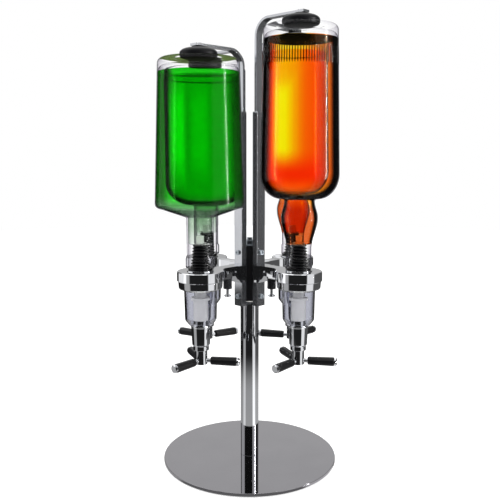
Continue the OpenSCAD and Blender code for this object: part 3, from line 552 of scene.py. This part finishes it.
def amber_detail(tree, edge, dark_top):
    """Orange with a painted yellow band of light on the inner side, painted red shade at the sides, low and in
    the neck, and a painted black edge seen edge on.
    """
    way = tree.node("SeparateXYZ", {}, {0: tree.place()})
    side = way - station_middle(AMBER[0]).x
    high = tree.height()
    # These colours by place are painted light and shade, for a bright light behind the inner side and less
    # light elsewhere.
    orange = tree.tint(tree.ramp(side, *AMBER_HOT_X), AMBER_ORANGE, AMBER_HOT)
    middle = tree.ramp(side, *AMBER_LEFT_X) * tree.ramp(side, *AMBER_RIGHT_X, 1.0, 0.0)
    orange = tree.mix(middle, (*AMBER_RED, 1), orange)
    band = tree.ramp(side, *AMBER_BAND_X[:2]) * tree.ramp(side, *AMBER_BAND_X[2:], 1.0, 0.0)
    band = band * tree.ramp(high, AMBER_FADE_Z, AMBER_BAND_Z, 0.25, 1.0)
    upper = tree.mix(band, orange, (*AMBER_YELLOW, 1))
    foot = tree.tint(tree.ramp(high, AMBER_GLOW_Z, AMBER_RED_Z), AMBER_GLOW, AMBER_RED)
    body = tree.mix(tree.ramp(high, AMBER_RED_Z, AMBER_LIGHT_Z), foot, upper)
    body = tree.mix(tree.ramp(high, AMBER_NECK_Z - 8, AMBER_NECK_Z), (*AMBER_NECK, 1), body)
    # Painted shade: black seen edge on. Level faces are spared, or with a dark top only low down, so the
    # liquid's top gets a painted dark reflection.
    clear = 1 - tree.upright()
    if dark_top:
        clear = clear * tree.ramp(high, *AMBER_FOOT_Z, 1.0, 0.0)
    return {"Base Color": tree.mix(tree.edge_on(*edge) * (1 - clear), body, AMBER_DARK)}


# How far a surface turns from the eye as its painted edge shade comes in, from 0 face on to 1 edge on
THIN_EDGE = (0.66, 0.94)
BROAD_SHADE_EDGE = (0.52, 0.68)
PLASTIC_EDGE = (0.30, 0.85)
AMBER_EDGE = (0.30, 0.52)
GREEN_EDGE = (0.22, 0.46)
GREY_SHADE_EDGE = (0.15, 0.75)
OLIVE_EDGE = (0.70, 0.82)

# Colours of glass and clear plastic, and how much their surface shines
# Painted shade: the grey and the near black that glass takes on edge on
GLASS_GREY_SHADE, GLASS_DARK = (0.66, 0.64, 0.69, 1), (0.02, 0.022, 0.03, 1)
# A painted reflection of the green liquid in the olive base, and painted shade in the flute valleys
OLIVE, FLUTE_SHADE = (0.012, 0.028, 0.002, 1), (0.012, 0.004, 0.001, 1)
# Painted shade at the edges of the clear plastic
PLASTIC_EDGE_SHADE = (0.26, 0.26, 0.31, 1)
GLASS_SHINE, FLUTED_SHINE = 0.2, 0.28

# Colours of the liquids, with the heights and sideways places between which they change. The amber's changes
# by place and the dark colours at the liquids' edges are painted light and shade
GREEN_CLEAR, GREEN_PALE = (0.80, 0.86, 0.80), (0.42, 0.56, 0.42)
GREEN_FULL, GREEN_EDGE_SHADE = (0.012, 0.56, 0.010), (0.008, 0.21, 0.005)
GREEN_CLEAR_Z, GREEN_PALE_Z, GREEN_FULL_Z = 254, 282, 312
AMBER_YELLOW, AMBER_ORANGE, AMBER_HOT = (1.0, 0.92, 0.02), (1.0, 0.56, 0.016), (1.0, 0.28, 0.012)
AMBER_RED, AMBER_GLOW, AMBER_NECK = (1.0, 0.15, 0.01), (1.0, 0.34, 0.014), (0.76, 0.13, 0.02)
AMBER_DARK = (0.0006, 0.0002, 0.0001, 1)
AMBER_FOOT_Z, AMBER_NECK_Z, AMBER_GLOW_Z, AMBER_RED_Z = (278, 288), 304, 310, 332
AMBER_LIGHT_Z, AMBER_BAND_Z, AMBER_FADE_Z = 362, 424, 440
AMBER_LEFT_X, AMBER_HOT_X, AMBER_RIGHT_X = (-30, -20), (2, 12), (24, 32)
AMBER_BAND_X = (-28, -21, -9, -2)

# Sizes that finishes and pieces share
STOPPER_FLANGE_T, RIBS = 2.7, 8
GLASS_BASE, DISH_DEPTH = 10, 1
FLUTES, FLUTE_DEPTH, FLUTE_LOW, FLUTE_HIGH = 88, 0.5, 21, 42
AMBER_FOOT_R = 38.5

chrome = finish("polished_chrome", chrome_detail, Metallic=1.0)
satin_steel = finish("satin_steel", lambda tree: satin_detail(tree, 0.06), Metallic=0.95)
strap_steel = finish("strap_steel", lambda tree: satin_detail(tree, 0.10), Metallic=0.95)
blackened = finish("blackened_chrome", blackened_detail, Metallic=1.0)
dark_mirror = finish("dark_mirror_chrome", dark_mirror_detail, Metallic=1.0)
zinc = finish("zinc_plated_steel", zinc_detail, Metallic=1.0)
rubber = finish("black_rubber", rubber_detail, Specular_IOR_Level=0.18)
stopper_rubber = finish("glossy_stopper_rubber", stopper_detail, Specular_IOR_Level=0.25)
moulded = finish("moulded_black_plastic", moulded_detail, Specular_IOR_Level=0.3)
nylon = finish("nylon", nylon_detail)
bronze = finish("sintered_bronze", bronze_detail, Metallic=1.0)
CLEAR = dict(Roughness=0.0, IOR=1.003, Transmission_Weight=1.0)
GLASS = dict(Coat_Roughness=0.14, **CLEAR)
glass = finish("bottle_glass", lambda tree: glass_detail(tree, THIN_EDGE, AMBER[1], GLASS_SHINE), **GLASS)
olive_glass = finish("olive_based_bottle_glass", olive_base_detail, **GLASS)
# Glass of the rear green bottle, with a broader painted dark edge.
broad_shade_glass = finish("broad_edge_shaded_bottle_glass",
                     lambda tree: glass_detail(tree, BROAD_SHADE_EDGE, GREEN_REAR, GLASS_SHINE), **GLASS)
fluted_glass = finish("fluted_bottle_glass", fluted_detail, **GLASS)
chamber_plastic = finish("clear_measure_plastic", chamber_detail, IOR=1.15, Transmission_Weight=1.0)
milky = finish("milky_plastic", milky_detail, IOR=1.45, Transmission_Weight=0.25)
green_spirit = finish("green_spirit", green_detail, **CLEAR)
edge_shaded_green_spirit = finish("edge_shaded_green_spirit", lambda tree: green_detail(tree, GREEN_EDGE), **CLEAR)
amber_spirit = finish("amber_spirit", lambda tree: amber_detail(tree, THIN_EDGE, False), **CLEAR)
edge_shaded_amber_spirit = finish("edge_shaded_amber_spirit", lambda tree: amber_detail(tree, AMBER_EDGE, True), **CLEAR)


def coat(node, material):
    """Gives a node that keeps its own shape a finish."""
    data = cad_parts[node].data
    data.materials.clear()
    data.materials.append(material)


# Stand

BASE_EDGE, BASE_HOLE_R = 0.7, 6
TUBE_EDGE = 0.4
TUBE_WALL = 1.5


def stand():
    low, high = span("base_plate")
    plate = Shape()
    hole = BASE_HOLE_R
    plate.turn(eased([(hole, low.z), (high.x, low.z), (high.x, high.z), (hole, high.z)], BASE_EDGE), sides=288)
    plate.piece("base_disc", dark_mirror, "stand", "dark_chrome", "base_plate")
    low, high = span("column_tube")
    tube = Shape()
    bore = high.x - TUBE_WALL
    tube.turn(eased([(bore, low.z), (high.x, low.z), (high.x, high.z), (bore, high.z)], TUBE_EDGE), sides=128)
    tube.piece("column", chrome, "stand", "chrome", "column_tube")
    coat("base_pad", rubber)
    coat("base_bolt", zinc)
    coat("foot_plug", zinc)
    coat("spindle", zinc)
    coat("thrust_washer", nylon)


# Turning head

RAIL_EDGE = 0.3
BRACKET_EDGE = 0.7
COLLAR_EDGE = 0.5
CORE_EDGE = 0.5
NUT_EDGE = 0.3
COLLAR_CHAMFER, COLLAR_TAPER = 1.3, 1.6
RIM_PLAY = 0.2


def turned_collars(form):
    """Breaks the upper edge of the collars and draws their walls in towards the foot."""
    low, high = span("measure_collars")
    rim = reach("measure_collars")
    whole = form.verts[:] + form.edges[:] + form.faces[:]
    bmesh.ops.bisect_plane(form, geom=whole, dist=1e-6, plane_co=(0, 0, (high.z - COLLAR_CHAMFER) * MM),
                           plane_no=(0, 0, 1))
    middles = [station_middle(name).xy * MM for name in STATIONS]
    for vert in form.verts:
        middle = min(middles, key=lambda spot: (vert.co.xy - spot).length)
        arm = vert.co.xy - middle
        if fabs(arm.length / MM - rim) > RIM_PLAY:
            continue
        down = high.z - vert.co.z / MM
        drawn = COLLAR_CHAMFER if down < RIM_PLAY / 2 else COLLAR_TAPER * down / (high.z - low.z)
        vert.co.xy = middle + arm * (1 - drawn / rim)


def head():
    softened("hub_core", "head_core", moulded, "carousel", "black_plastic", CORE_EDGE)
    softened("top_nut", "head_nut", zinc, "stand", "steel", NUT_EDGE)
    coat("hub_bush", bronze)
    coat("frame_screws", zinc)
    for name in STATIONS:
        softened("rail_" + name, "head_rail_" + name, satin_steel, "carousel", "chrome", RAIL_EDGE)
        softened("bracket_" + name, "head_bracket_" + name, chrome, "carousel", "chrome", BRACKET_EDGE)
    softened("measure_collars", "collars", chrome, "carousel", "chrome", COLLAR_EDGE, turned_collars)


# Bottles

ROUND_SIDES = 192
GLASS_WALL, LOOK_WALL = 3.2, 0.8
HEEL_R = 6
DISH_R, DISH_SLOPE, DISH_LEAD, DISH_ROUND = 23, 3, 4, 1.2
BORE_R = 10.4
LIP_OUT, LIP_H = 1.2, 10
GREEN_NECK_R = 14.5
GREEN_FOOT_R = 42.5
FLAT_NECK, FLAT_RISE, FLAT_CORNER, NECK_FILLET = 54, 9, 5, 2
ROUND_NECK, ROUND_RISE = 56, 26
COVE_W, COVE_H = 4, 3
AMBER_NECK_R, AMBER_NECK_H = 13.2, 20
BULB_R, BULB_RISE = 19.6, 53
WAIST_R, WAIST_RISE = 16.2, 70
AIR_GAP = 4
LONG_RUN = 2.5
FLUTE_FADE = 2.5
WETTING = 0.06
MENISCUS = 1.2
PIPE_R = 4.1
FILM = 0.1


def mouth_line(neck, e):
    if e:
        return [(neck, 0)]
    return eased([(neck - 1, 0), (neck + LIP_OUT, 0), (neck + LIP_OUT, LIP_H), (neck, LIP_H + LIP_OUT),
                  (neck, LIP_H + 3)], 0.8)[4:-1]


def neck_radius(r, e):
    return BORE_R + GLASS_WALL - e if e else r


def base_line(r, h, e):
    z = h - GLASS_BASE - (e - GLASS_WALL) if e else h
    return to_level((r, z - HEEL_R), (r - HEEL_R, z)) + [(r - HEEL_R, z)]


def round_shoulder(n, r, z):
    end = (r, z + COVE_H + ROUND_RISE)
    return to_upright((n + COVE_W, z + COVE_H), end) + [end]


def flat_outline(r, h, e):
    n, z = neck_radius(GREEN_NECK_R, e), FLAT_NECK + e
    end = (r - e, z + FLAT_RISE + FLAT_CORNER)
    return (mouth_line(n, e) + to_level((n, z - NECK_FILLET), (n + NECK_FILLET, z)) + [(n + NECK_FILLET, z)]
            + to_upright((r - e - FLAT_CORNER, z + FLAT_RISE), end) + [end]
            + base_line(GREEN_FOOT_R - e, h, e))


def round_outline(r, h, e):
    n, z = neck_radius(GREEN_NECK_R, e), ROUND_NECK + e
    return (mouth_line(n, e) + to_level((n, z), (n + COVE_W, z + COVE_H)) + round_shoulder(n, r - e, z)
            + base_line(r - e, h, e))


def bulb_outline(r, h, e):
    n, b, w, z = neck_radius(AMBER_NECK_R, e), BULB_R - e, WAIST_R - e, WAIST_RISE + e
    return (mouth_line(n, e) + ess((n, AMBER_NECK_H), (b, BULB_RISE)) + ess((b, BULB_RISE), (w, z))
            + to_level((w, z), (w + COVE_W, z + COVE_H)) + round_shoulder(w, r - e, z)
            + base_line(AMBER_FOOT_R - e, h, e))


def bottle_outline(name, e):
    low, high = span("bottle_" + name)
    kind = bulb_outline if name in AMBER else flat_outline if name == GREEN_FRONT else round_outline
    return kind((high.x - low.x) / 2, high.z - low.z, e)


def thickened(outline, longest):
    """The outline with points added on its long straight runs."""
    points = []
    for p, q in zip(outline, outline[1:]):
        parts = max(1, int(hypot(q[0] - p[0], q[1] - p[1]) / longest))
        points += [(p[0] + (q[0] - p[0]) * i / parts, p[1] + (q[1] - p[1]) * i / parts) for i in range(parts)]
    return points + outline[-1:]


def bottle(name):
    low, high = span("bottle_" + name)
    mouth, h = low.z, high.z - low.z
    outer = thickened(bottle_outline(name, 0), LONG_RUN)
    inner = bottle_outline(name, LOOK_WALL)
    brim, bed = DISH_R + DISH_SLOPE, h - DISH_DEPTH
    dish = eased([(brim + DISH_LEAD, h), (brim, h), (DISH_R, bed), (0, bed)], DISH_ROUND)[1:]

    def flutes(r, z, a):
        up = h - (z - mouth)
        if name not in AMBER or r < AMBER_FOOT_R - 1 or not FLUTE_LOW < up < FLUTE_HIGH:
            return r
        fade = min(1, (up - FLUTE_LOW) / FLUTE_FADE, (FLUTE_HIGH - up) / FLUTE_FADE)
        return r - FLUTE_DEPTH * fade * (0.5 + 0.5 * cos(FLUTES * a))

    made = Shape()
    sides = 4 * FLUTES if name in AMBER else ROUND_SIDES
    wall = outer + dish + [(0, inner[-1][1])] + inner[::-1]
    outline = [(r, z + mouth) for r, z in wall]
    made.turn(outline, bottle_axis(name), sides, flutes)
    kind = {GREEN_FRONT: olive_glass, GREEN_REAR: broad_shade_glass, AMBER[0]: fluted_glass}.get(name, glass)
    made.piece("glass_bottle_" + name, kind, "carousel", "clear_glass", "bottle_" + name)


def liquid(names, title, spirit, slot, node):
    made = Shape()
    stopper_top = span("stoppers")[1].z
    for name in names:
        low, high = span("bottle_" + name)
        mouth, h = low.z, high.z - low.z
        foot = stopper_top - mouth + FILM
        level = h - GLASS_BASE - AIR_GAP
        side = thickened(bottle_outline(name, LOOK_WALL - WETTING), LONG_RUN)
        side = [p for p in side if foot < p[1] < level - 2 * MENISCUS]
        wall = side[-1][0]
        top = to_upright((wall - 3 * MENISCUS, level - MENISCUS), (wall, level))[::-1]
        pipe_top = span("dose_tubes")[1].z - mouth
        cap, hole = pipe_top + 2 * FILM, PIPE_R + FILM
        pipe = [(0, cap), (PIPE_R - 3 * FILM, cap), (hole, pipe_top - 3 * FILM), (hole, foot)]
        outline = pipe + [(side[0][0], foot)] + side + top + [(0, level - MENISCUS)]
        made.turn([(r, z + mouth) for r, z in outline], bottle_axis(name), ROUND_SIDES)
    made.piece(title, spirit, "carousel", slot, node)


# Straps and their pads

STRAP_EDGE = 0.45
PAD_R, PAD_NECK_R, PAD_NECK_H, PAD_LIP, PAD_BEAD = 19.5, 7, 1.5, 0.5, 2
RIVET_R = 2.5


def press(name):
    body = "strap_" + name
    softened("strap_" + name, "press_strap_" + name, strap_steel, body, "chrome", STRAP_EDGE)
    low, high = span("pad_" + name)
    dome = high.z - PAD_NECK_H
    rim = (low.z + dome) / 2
    sole, bead = low.z + PAD_LIP, low.z + PAD_BEAD
    outline = [(0, low.z), (PAD_R - 4, low.z), (PAD_R - 3, sole)]
    outline += to_upright((PAD_R - 2, sole), (PAD_R - PAD_LIP, bead))
    outline += [(PAD_R - PAD_LIP, bead), (PAD_R, bead + 0.6)]
    outline += to_level((PAD_R, rim), (PAD_NECK_R + 1, dome))
    outline += [(PAD_NECK_R + 0.6, dome), (PAD_NECK_R, dome + PAD_LIP), (PAD_NECK_R, high.z - 0.3),
                (PAD_NECK_R - 0.3, high.z), (RIVET_R, high.z), (RIVET_R, rim), (0, rim)]
    made = Shape()
    made.turn(outline, bottle_axis(name), sides=128)
    made.piece("press_pad_" + name, rubber, body, "black_rubber", "pad_" + name)


# Measures

STOPPER_FLANGE_R = 13
STOPPER_TIP_R, RIB_DEPTH = 8, 2.0
# Where on its pitch a rib's valley ends, its flank is up and its crest ends
RIB_SHARES = (0.12, 0.16, 0.44)
CHAMBER_LOW_R, CHAMBER_FOOT_R, CHAMBER_BEVEL, CHAMBER_WALL = 17, 12.4, 6, 2.2
SPIGOT_R, SPIGOT_H = 8, 4.8
FLANGE_R, FLANGE_T, SLEEVE_R, SLEEVE_H, VALVE_BORE_R = 10.2, 3, 7.8, 22.5, 6.1
DOSE_NECK_R, PIPE_WALL = 6.3, 1.1
NOZZLE_LOW_R, NOZZLE_TIP_R, NOZZLE_TIP_H, NOZZLE_BORE_R, NOZZLE_BORE_H = 9.6, 8.5, 5, 7, 23
NOZZLE_BAND_H, STEM_HOLE_R = 1.4, 3.05
BUSH_R, BUSH_BORE_R, KNURLS, KNURL_DEPTH = 4.8, 1.7, 24, 0.35
PIN_RADIUS = 34.5


def at_all(outline, sides=96):
    """One shape with the same outline at every station."""
    made = Shape()
    for name in STATIONS:
        made.turn(outline, bottle_axis(name), sides)
    return made


def at_pin(name):
    """Frame of a station's release pin, at floor level."""
    return spindle_turn(name) @ Matrix.Translation((PIN_RADIUS * MM, 0, 0))


def knurl(r, z, a):
    """Square cuts round the rim of a bush."""
    return r - KNURL_DEPTH * (r > BUSH_R - 0.1) * (cos(KNURLS * a) > 0)


def stopper_outline():
    low, high = span("stoppers")
    plug = low.z + STOPPER_FLANGE_T
    pitch = (high.z - plug) / RIBS
    first = BORE_R - FILM
    points = [(PIPE_R + FILM, low.z), (STOPPER_FLANGE_R, low.z), (STOPPER_FLANGE_R, plug)]
    for i in range(RIBS):
        r = first + (STOPPER_TIP_R - first) * i / (RIBS - 1)
        z = plug + i * pitch
        valley, flank, crest = (z + share * pitch for share in RIB_SHARES)
        points += [(r - RIB_DEPTH, z), (r - RIB_DEPTH, valley), (r, flank), (r, crest)]
    points += [(STOPPER_TIP_R - RIB_DEPTH, high.z), (PIPE_R + FILM, high.z)]
    return eased(points, 0.25, 3)


def chamber_outline():
    low, high = span("measure_chambers")
    rim = reach("measure_chambers")
    seat = span("measure_collars")[0].z
    bevel, w, hole = low.z + CHAMBER_BEVEL, CHAMBER_WALL, SPIGOT_R + FILM
    return eased([(hole, low.z), (CHAMBER_FOOT_R, low.z), (CHAMBER_LOW_R, bevel), (rim, seat), (rim, high.z),
                  (rim - w, high.z), (rim - w, seat), (CHAMBER_LOW_R - w, bevel + w / 2),
                  (CHAMBER_FOOT_R - w / 2, low.z + w), (hole, low.z + w)], 0.9)


def dose_outline():
    low, high = span("dose_tubes")
    flange = low.z + SLEEVE_H
    top = flange + FLANGE_T
    neck_top = span("measure_chambers")[1].z
    bore = PIPE_R - PIPE_WALL
    return eased([(VALVE_BORE_R, low.z), (SLEEVE_R, low.z), (SLEEVE_R, flange), (FLANGE_R, flange),
                  (FLANGE_R, top), (DOSE_NECK_R, top), (DOSE_NECK_R, neck_top), (PIPE_R, neck_top),
                  (PIPE_R, high.z), (bore, high.z), (bore, top - 1), (VALVE_BORE_R, flange)], 0.5)


def nozzle_outline():
    low, high = span("nozzles")
    top = high.z - SPIGOT_H
    tip = low.z + NOZZLE_TIP_H
    step = NOZZLE_LOW_R - NOZZLE_TIP_R
    wide, band, room = reach("nozzles"), top - NOZZLE_BAND_H, low.z + NOZZLE_BORE_H
    return eased([(NOZZLE_BORE_R, low.z), (NOZZLE_TIP_R, low.z), (NOZZLE_TIP_R, tip),
                  (NOZZLE_LOW_R, tip + step), (wide - 0.3, band - 0.8), (wide, band), (wide, top),
                  (SPIGOT_R, top), (SPIGOT_R, high.z), (STEM_HOLE_R, high.z), (STEM_HOLE_R, room),
                  (NOZZLE_BORE_R, room)], 0.45)


def measures():
    at_all(stopper_outline()).piece("ribbed_stoppers", stopper_rubber, "carousel", "black_rubber", "stoppers")
    at_all(chamber_outline(), 128).piece("clear_chambers", chamber_plastic, "carousel", "clear_plastic",
                                         "measure_chambers")
    at_all(dose_outline()).piece("milky_dose_tubes", milky, "carousel", "milky_plastic", "dose_tubes")
    at_all(nozzle_outline(), 128).piece("chrome_nozzles", chrome, "carousel", "chrome", "nozzles")
    low, high = span("release_bushes")
    bush = eased([(BUSH_BORE_R, low.z), (BUSH_R, low.z), (BUSH_R, high.z), (BUSH_BORE_R, high.z)], 0.6)
    made = Shape()
    for name in STATIONS:
        made.turn(bush, at_pin(name), 4 * KNURLS, knurl)
    made.piece("knurled_bushes", blackened, "carousel", "chrome", "release_bushes")
    for name in STATIONS:
        coat("valve_" + name, milky)
        coat("release_pin_" + name, chrome)


# Push levers

ARM_LEN, CAP_LEN, GRIP_FROM, GRIP_R, ROD_R = 42, 2.8, 10.5, 4.8, 2.2
FIRST_ARM = {"front_left": 351, "front_right": 351, "rear_right": 45, "rear_left": 30}
GRIP_FLATS = 8


def soft_flats(r, z, a):
    """Eight soft flats along a grip."""
    part = 2 * pi / GRIP_FLATS
    swing = (a + part / 2) % part - part / 2
    flat = cos(part / 2) / cos(swing)
    return r * (0.45 + 0.55 * flat) if r > ROD_R + 0.3 else r


def arm_frames(name):
    """A frame for each arm of a lever, with +Z along the arm from the hub's axis."""
    middle = station_middle(name)
    low, high = span("grips_" + name)
    spot = Matrix.Translation((middle.x * MM, middle.y * MM, (low.z + high.z) / 2 * MM))
    for third in range(3):
        turn = Matrix.Rotation(radians(FIRST_ARM[name] + 120 * third), 4, "Z")
        yield spot @ turn @ Matrix.Rotation(pi / 2, 4, "Y")


def lever(name):
    body = "lever_" + name
    coat("lever_" + name, chrome)
    end = ARM_LEN - CAP_LEN - 0.1
    grip = eased([(ROD_R + 0.1, GRIP_FROM), (GRIP_R - 1.1, GRIP_FROM), (GRIP_R - 0.4, GRIP_FROM + 1),
                  (GRIP_R, end - 1), (GRIP_R - 0.6, end), (ROD_R + 0.1, end)], 0.5)
    made = Shape()
    for place in arm_frames(name):
        made.turn(grip, place, 64, soft_flats)
    made.piece("black_grips_" + name, moulded, body, "black_plastic", "grips_" + name)


# Springs

VALVE_COIL = dict(coil_d=10, wire=0.9, curls=5)
STRAP_COIL = dict(coil_d=3.6, wire=0.7, curls=9)
LATCH_COIL = dict(coil_d=4.9, wire=0.5, curls=3)
STRAP_SPRING_RADIUS = 14.6


def spring(title, name, coil, place, low, high, node):
    """A coil between a fixed end and a moving one."""
    made = Shape()
    made.coil(z0=low, z1=high, place=place, **coil)
    piece = made.piece(f"{title}_{name}", zinc, None, "steel", node)
    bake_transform(piece)


def springs():
    valve_low, valve_high = (corner.z for corner in span("valve_springs"))
    strap_low = span("strap_springs")[0].z
    latch_low, latch_high = (corner.z for corner in span("release_springs"))
    for name in STATIONS:
        strap_place = spindle_turn(name) @ Matrix.Translation((STRAP_SPRING_RADIUS * MM, 0, 0))
        spring("return_spring", name, VALVE_COIL, bottle_axis(name), valve_low, valve_high, "valve_springs")
        spring("strap_spring", name, STRAP_COIL, strap_place, strap_low, span("strap_" + name)[0].z - 0.1,
               "strap_springs")
        spring("latch_spring", name, LATCH_COIL, at_pin(name), latch_low, latch_high, "release_springs")


# Studio

FLOOR_R = 2.6
CAMERA_AT = (0, -0.7793, 0.3564)
CAMERA_PITCH = 82.765
CAMERA_LENS = 49.83
CAMERA_SHIFT = (0.0008, -0.02)


def camera():
    lens = bpy.data.cameras.new("camera")
    lens.sensor_width = 36
    lens.lens = CAMERA_LENS
    lens.shift_x, lens.shift_y = CAMERA_SHIFT
    lens.clip_start = 0.01
    made = bpy.data.objects.new("camera", lens)
    made.location = CAMERA_AT
    made.rotation_euler = (radians(CAMERA_PITCH), 0, 0)
    bpy.context.scene.collection.objects.link(made)
    bpy.context.scene.camera = made


def lamp(name, spot, aim, size, brightness, glossy=True, glossy_only=False):
    """A soft box that shines from spot to aim, as bright as white paper times its brightness."""
    light = bpy.data.lights.new(name, "AREA")
    light.shape = "RECTANGLE"
    light.size, light.size_y = size
    light.energy = brightness * pi * size[0] * size[1]
    made = bpy.data.objects.new(name, light)
    made.location = spot
    made.rotation_euler = (Vector(aim) - Vector(spot)).to_track_quat("-Z", "Y").to_euler()
    made.visible_camera = False
    made.visible_glossy = glossy
    made.visible_diffuse = not glossy_only
    made.visible_transmission = False
    bpy.context.scene.collection.objects.link(made)


# What the metal sees, as turns in degrees from straight behind the object, with the softness of the edges
LEFT_BOX = (-112, -55, 4)
LOW_LEFT_BOX = (-129, -96, 4)
RIGHT_BOX = (106, 142, 3)
WALL = (32, 106, 4)
GREY_WALL = 0.08
DARK_ROOM = 0.015
SOFT_ROOM = 0.75
BEHIND_GLASS = 1.02


def window(tree, value, low, high, soft):
    """1 between two values and 0 outside them, with soft edges."""
    return tree.ramp(value, low - soft, low + soft) * tree.ramp(value, high - soft, high + soft, 1.0, 0.0)


def panel(tree, angle, low, high, soft):
    """The same between two angles in degrees."""
    return window(tree, angle, radians(low), radians(high), radians(soft))


def floor():
    made = Shape()
    made.turn([(0, -0.1), (FLOOR_R / MM, -0.1), (FLOOR_R / MM, -2), (0, -2)], sides=96)
    mesh = bpy.data.meshes.new("floor")
    mesh.from_pydata(made.points, [], made.faces)
    material = bpy.data.materials.new("pale_floor")
    tree = Tree(material)
    way = tree.node("SeparateXYZ", {}, {0: tree.node("TexCoord", out="Object")})
    across, along = way, way.out("Y")
    away = (across * across + along * along) ** 0.5
    turn = tree.node("Math", {"operation": "ARCTAN2"}, {0: across, 1: along})
    path = tree.node("LightPath", out="Is Camera Ray")
    glossy, thru = path.out("Is Glossy Ray"), path.out("Is Transmission Ray")
    matt = tree.node("BsdfDiffuse", {}, {"Color": (0.86, 0.86, 0.86, 1)})
    glow = tree.node("Emission", {}, {"Color": (1, 1, 1, 1), "Strength": 0.56 * path})
    both = tree.node("AddShader", {}, {0: matt, 1: glow})
    far_left = panel(tree, turn, *LEFT_BOX) * tree.ramp(away, 1.0, 1.15)
    boxes = panel(tree, turn, *RIGHT_BOX) + far_left + 0.45 * panel(tree, turn, *LOW_LEFT_BOX)
    near = tree.ramp(away, 0.22, 0.44, 0.34, 0.0)
    mirrored = DARK_ROOM + 0.9 * boxes + near + GREY_WALL * panel(tree, turn, *WALL)
    strength = mirrored + thru * (BEHIND_GLASS - mirrored)
    shine = tree.node("Emission", {}, {"Color": (1, 1, 1, 1), "Strength": strength})
    either = tree.node("Math", {"operation": "MAXIMUM"}, {0: glossy, 1: thru})
    surface = tree.node("MixShader", {}, {0: either, 1: both, 2: shine})
    tree.node("OutputMaterial", {}, {"Surface": surface})
    mesh.materials.append(material)
    made = bpy.data.objects.new("floor", mesh)
    bpy.context.scene.collection.objects.link(made)


def studio_world():
    """White to the camera and through glass. Metal sees a white backdrop, soft boxes and a dark room."""
    world = bpy.data.worlds.new("studio")
    bpy.context.scene.world = world
    tree = Tree(world)
    way = tree.node("SeparateXYZ", {}, {0: tree.node("TexCoord", out="Generated")})
    turn = tree.node("Math", {"operation": "ARCTAN2"}, {0: way, 1: way.out("Y")})
    aside = tree.absolute(turn)
    rise = way.out("Z")
    backdrop = panel(tree, aside, -90, 30, 5) * tree.ramp(rise, 0.05, 0.42, 0.35, 1.0)
    left_box = panel(tree, turn, *LEFT_BOX) * tree.ramp(rise, -0.22, -0.17)
    overhead = tree.ramp(rise, 0.46, 0.7, 0.0, 0.3) + tree.ramp(rise, 0.6, 0.85, 0.0, 0.55)
    boxes = backdrop + left_box + panel(tree, turn, *RIGHT_BOX)
    mirror = DARK_ROOM + 0.95 * boxes + GREY_WALL * panel(tree, turn, *WALL) + overhead
    path = tree.node("LightPath", out="Is Camera Ray")
    glossy, thru = path.out("Is Glossy Ray"), path.out("Is Transmission Ray")
    light = SOFT_ROOM + glossy * (mirror - SOFT_ROOM)
    light = light + thru * (BEHIND_GLASS - light)
    light = light + path * (1.0 - light)
    shade = tree.node("Background", {}, {"Color": (1, 1, 1, 1), "Strength": light})
    tree.node("OutputWorld", {}, {"Surface": shade})


CARD_AT = 0.18
CARD_LOW, CARD_HIGH = 0.33, 0.44
CARD_STRIPS = ((-0.108, -0.090, 1.5), (-0.079, -0.058, 0.6))
CARD_MARGIN = (0.02, 0.05)
CARD_SOFT, STRIP_SOFT = 0.03, 0.006


def back_card():
    """A card behind the green bottles with two soft strips of light, seen only through glass."""
    left, right = CARD_STRIPS[0][0] - CARD_MARGIN[0], CARD_STRIPS[-1][1] + CARD_MARGIN[0]
    low, high = CARD_LOW - CARD_MARGIN[1], CARD_HIGH + CARD_MARGIN[1]
    mesh = bpy.data.meshes.new("back_card")
    corners = [(left, CARD_AT, low), (right, CARD_AT, low), (right, CARD_AT, high), (left, CARD_AT, high)]
    mesh.from_pydata(corners, [], [(0, 1, 2, 3)])
    material = bpy.data.materials.new("strip_light_card")
    tree = Tree(material)
    way = tree.node("SeparateXYZ", {}, {0: tree.node("TexCoord", out="Object")})
    tall = window(tree, way.out("Z"), CARD_LOW, CARD_HIGH, CARD_SOFT)
    wide = 0.0
    for start, end, strength in CARD_STRIPS:
        wide = wide + strength * window(tree, way, start, end, STRIP_SOFT)
    glow = tree.node("Emission", {}, {"Color": (1, 1, 1, 1), "Strength": wide * tall})
    clear = tree.node("BsdfTransparent", {}, {"Color": (1, 1, 1, 1)})
    tree.node("OutputMaterial", {}, {"Surface": tree.node("AddShader", {}, {0: glow, 1: clear})})
    mesh.materials.append(material)
    made = bpy.data.objects.new("back_card", mesh)
    made.visible_camera = made.visible_diffuse = made.visible_glossy = made.visible_shadow = False
    bpy.context.scene.collection.objects.link(made)


def studio():
    bpy.context.scene.view_settings.view_transform = "Standard"
    floor()
    studio_world()
    lamp("left_soft_box", (-1.35, 0.12, 0.5), (0, 0, 0.28), (0.8, 1.0), 1.6, glossy=False)
    lamp("front_soft_box", (0.3, -1.6, 1.1), (0, 0, 0.25), (0.8, 0.6), 5, glossy=False)
    lamp("right_strip_box", (1.178, -0.3, 0.45), (0, 0, 0.36), (0.06, 0.8), 60, glossy_only=True)
    lamp("top_soft_box", (0, -0.1, 1.7), (0, 0, 0.2), (1.2, 1.2), 1.2, glossy=False)
    back_card()


camera()
stand()
head()
for station in STATIONS:
    bottle(station)
    press(station)
    lever(station)
liquid((GREEN_FRONT,), "green_spirit_" + GREEN_FRONT, edge_shaded_green_spirit, "green_liquid", "green_liquid")
liquid((GREEN_REAR,), "green_spirit_" + GREEN_REAR, green_spirit, "green_liquid", "green_liquid")
liquid(AMBER[:1], "amber_spirit_" + AMBER[0], edge_shaded_amber_spirit, "amber_liquid", "amber_liquid")
liquid(AMBER[1:], "amber_spirit_" + AMBER[1], amber_spirit, "amber_liquid", "amber_liquid")
measures()
springs()
studio()
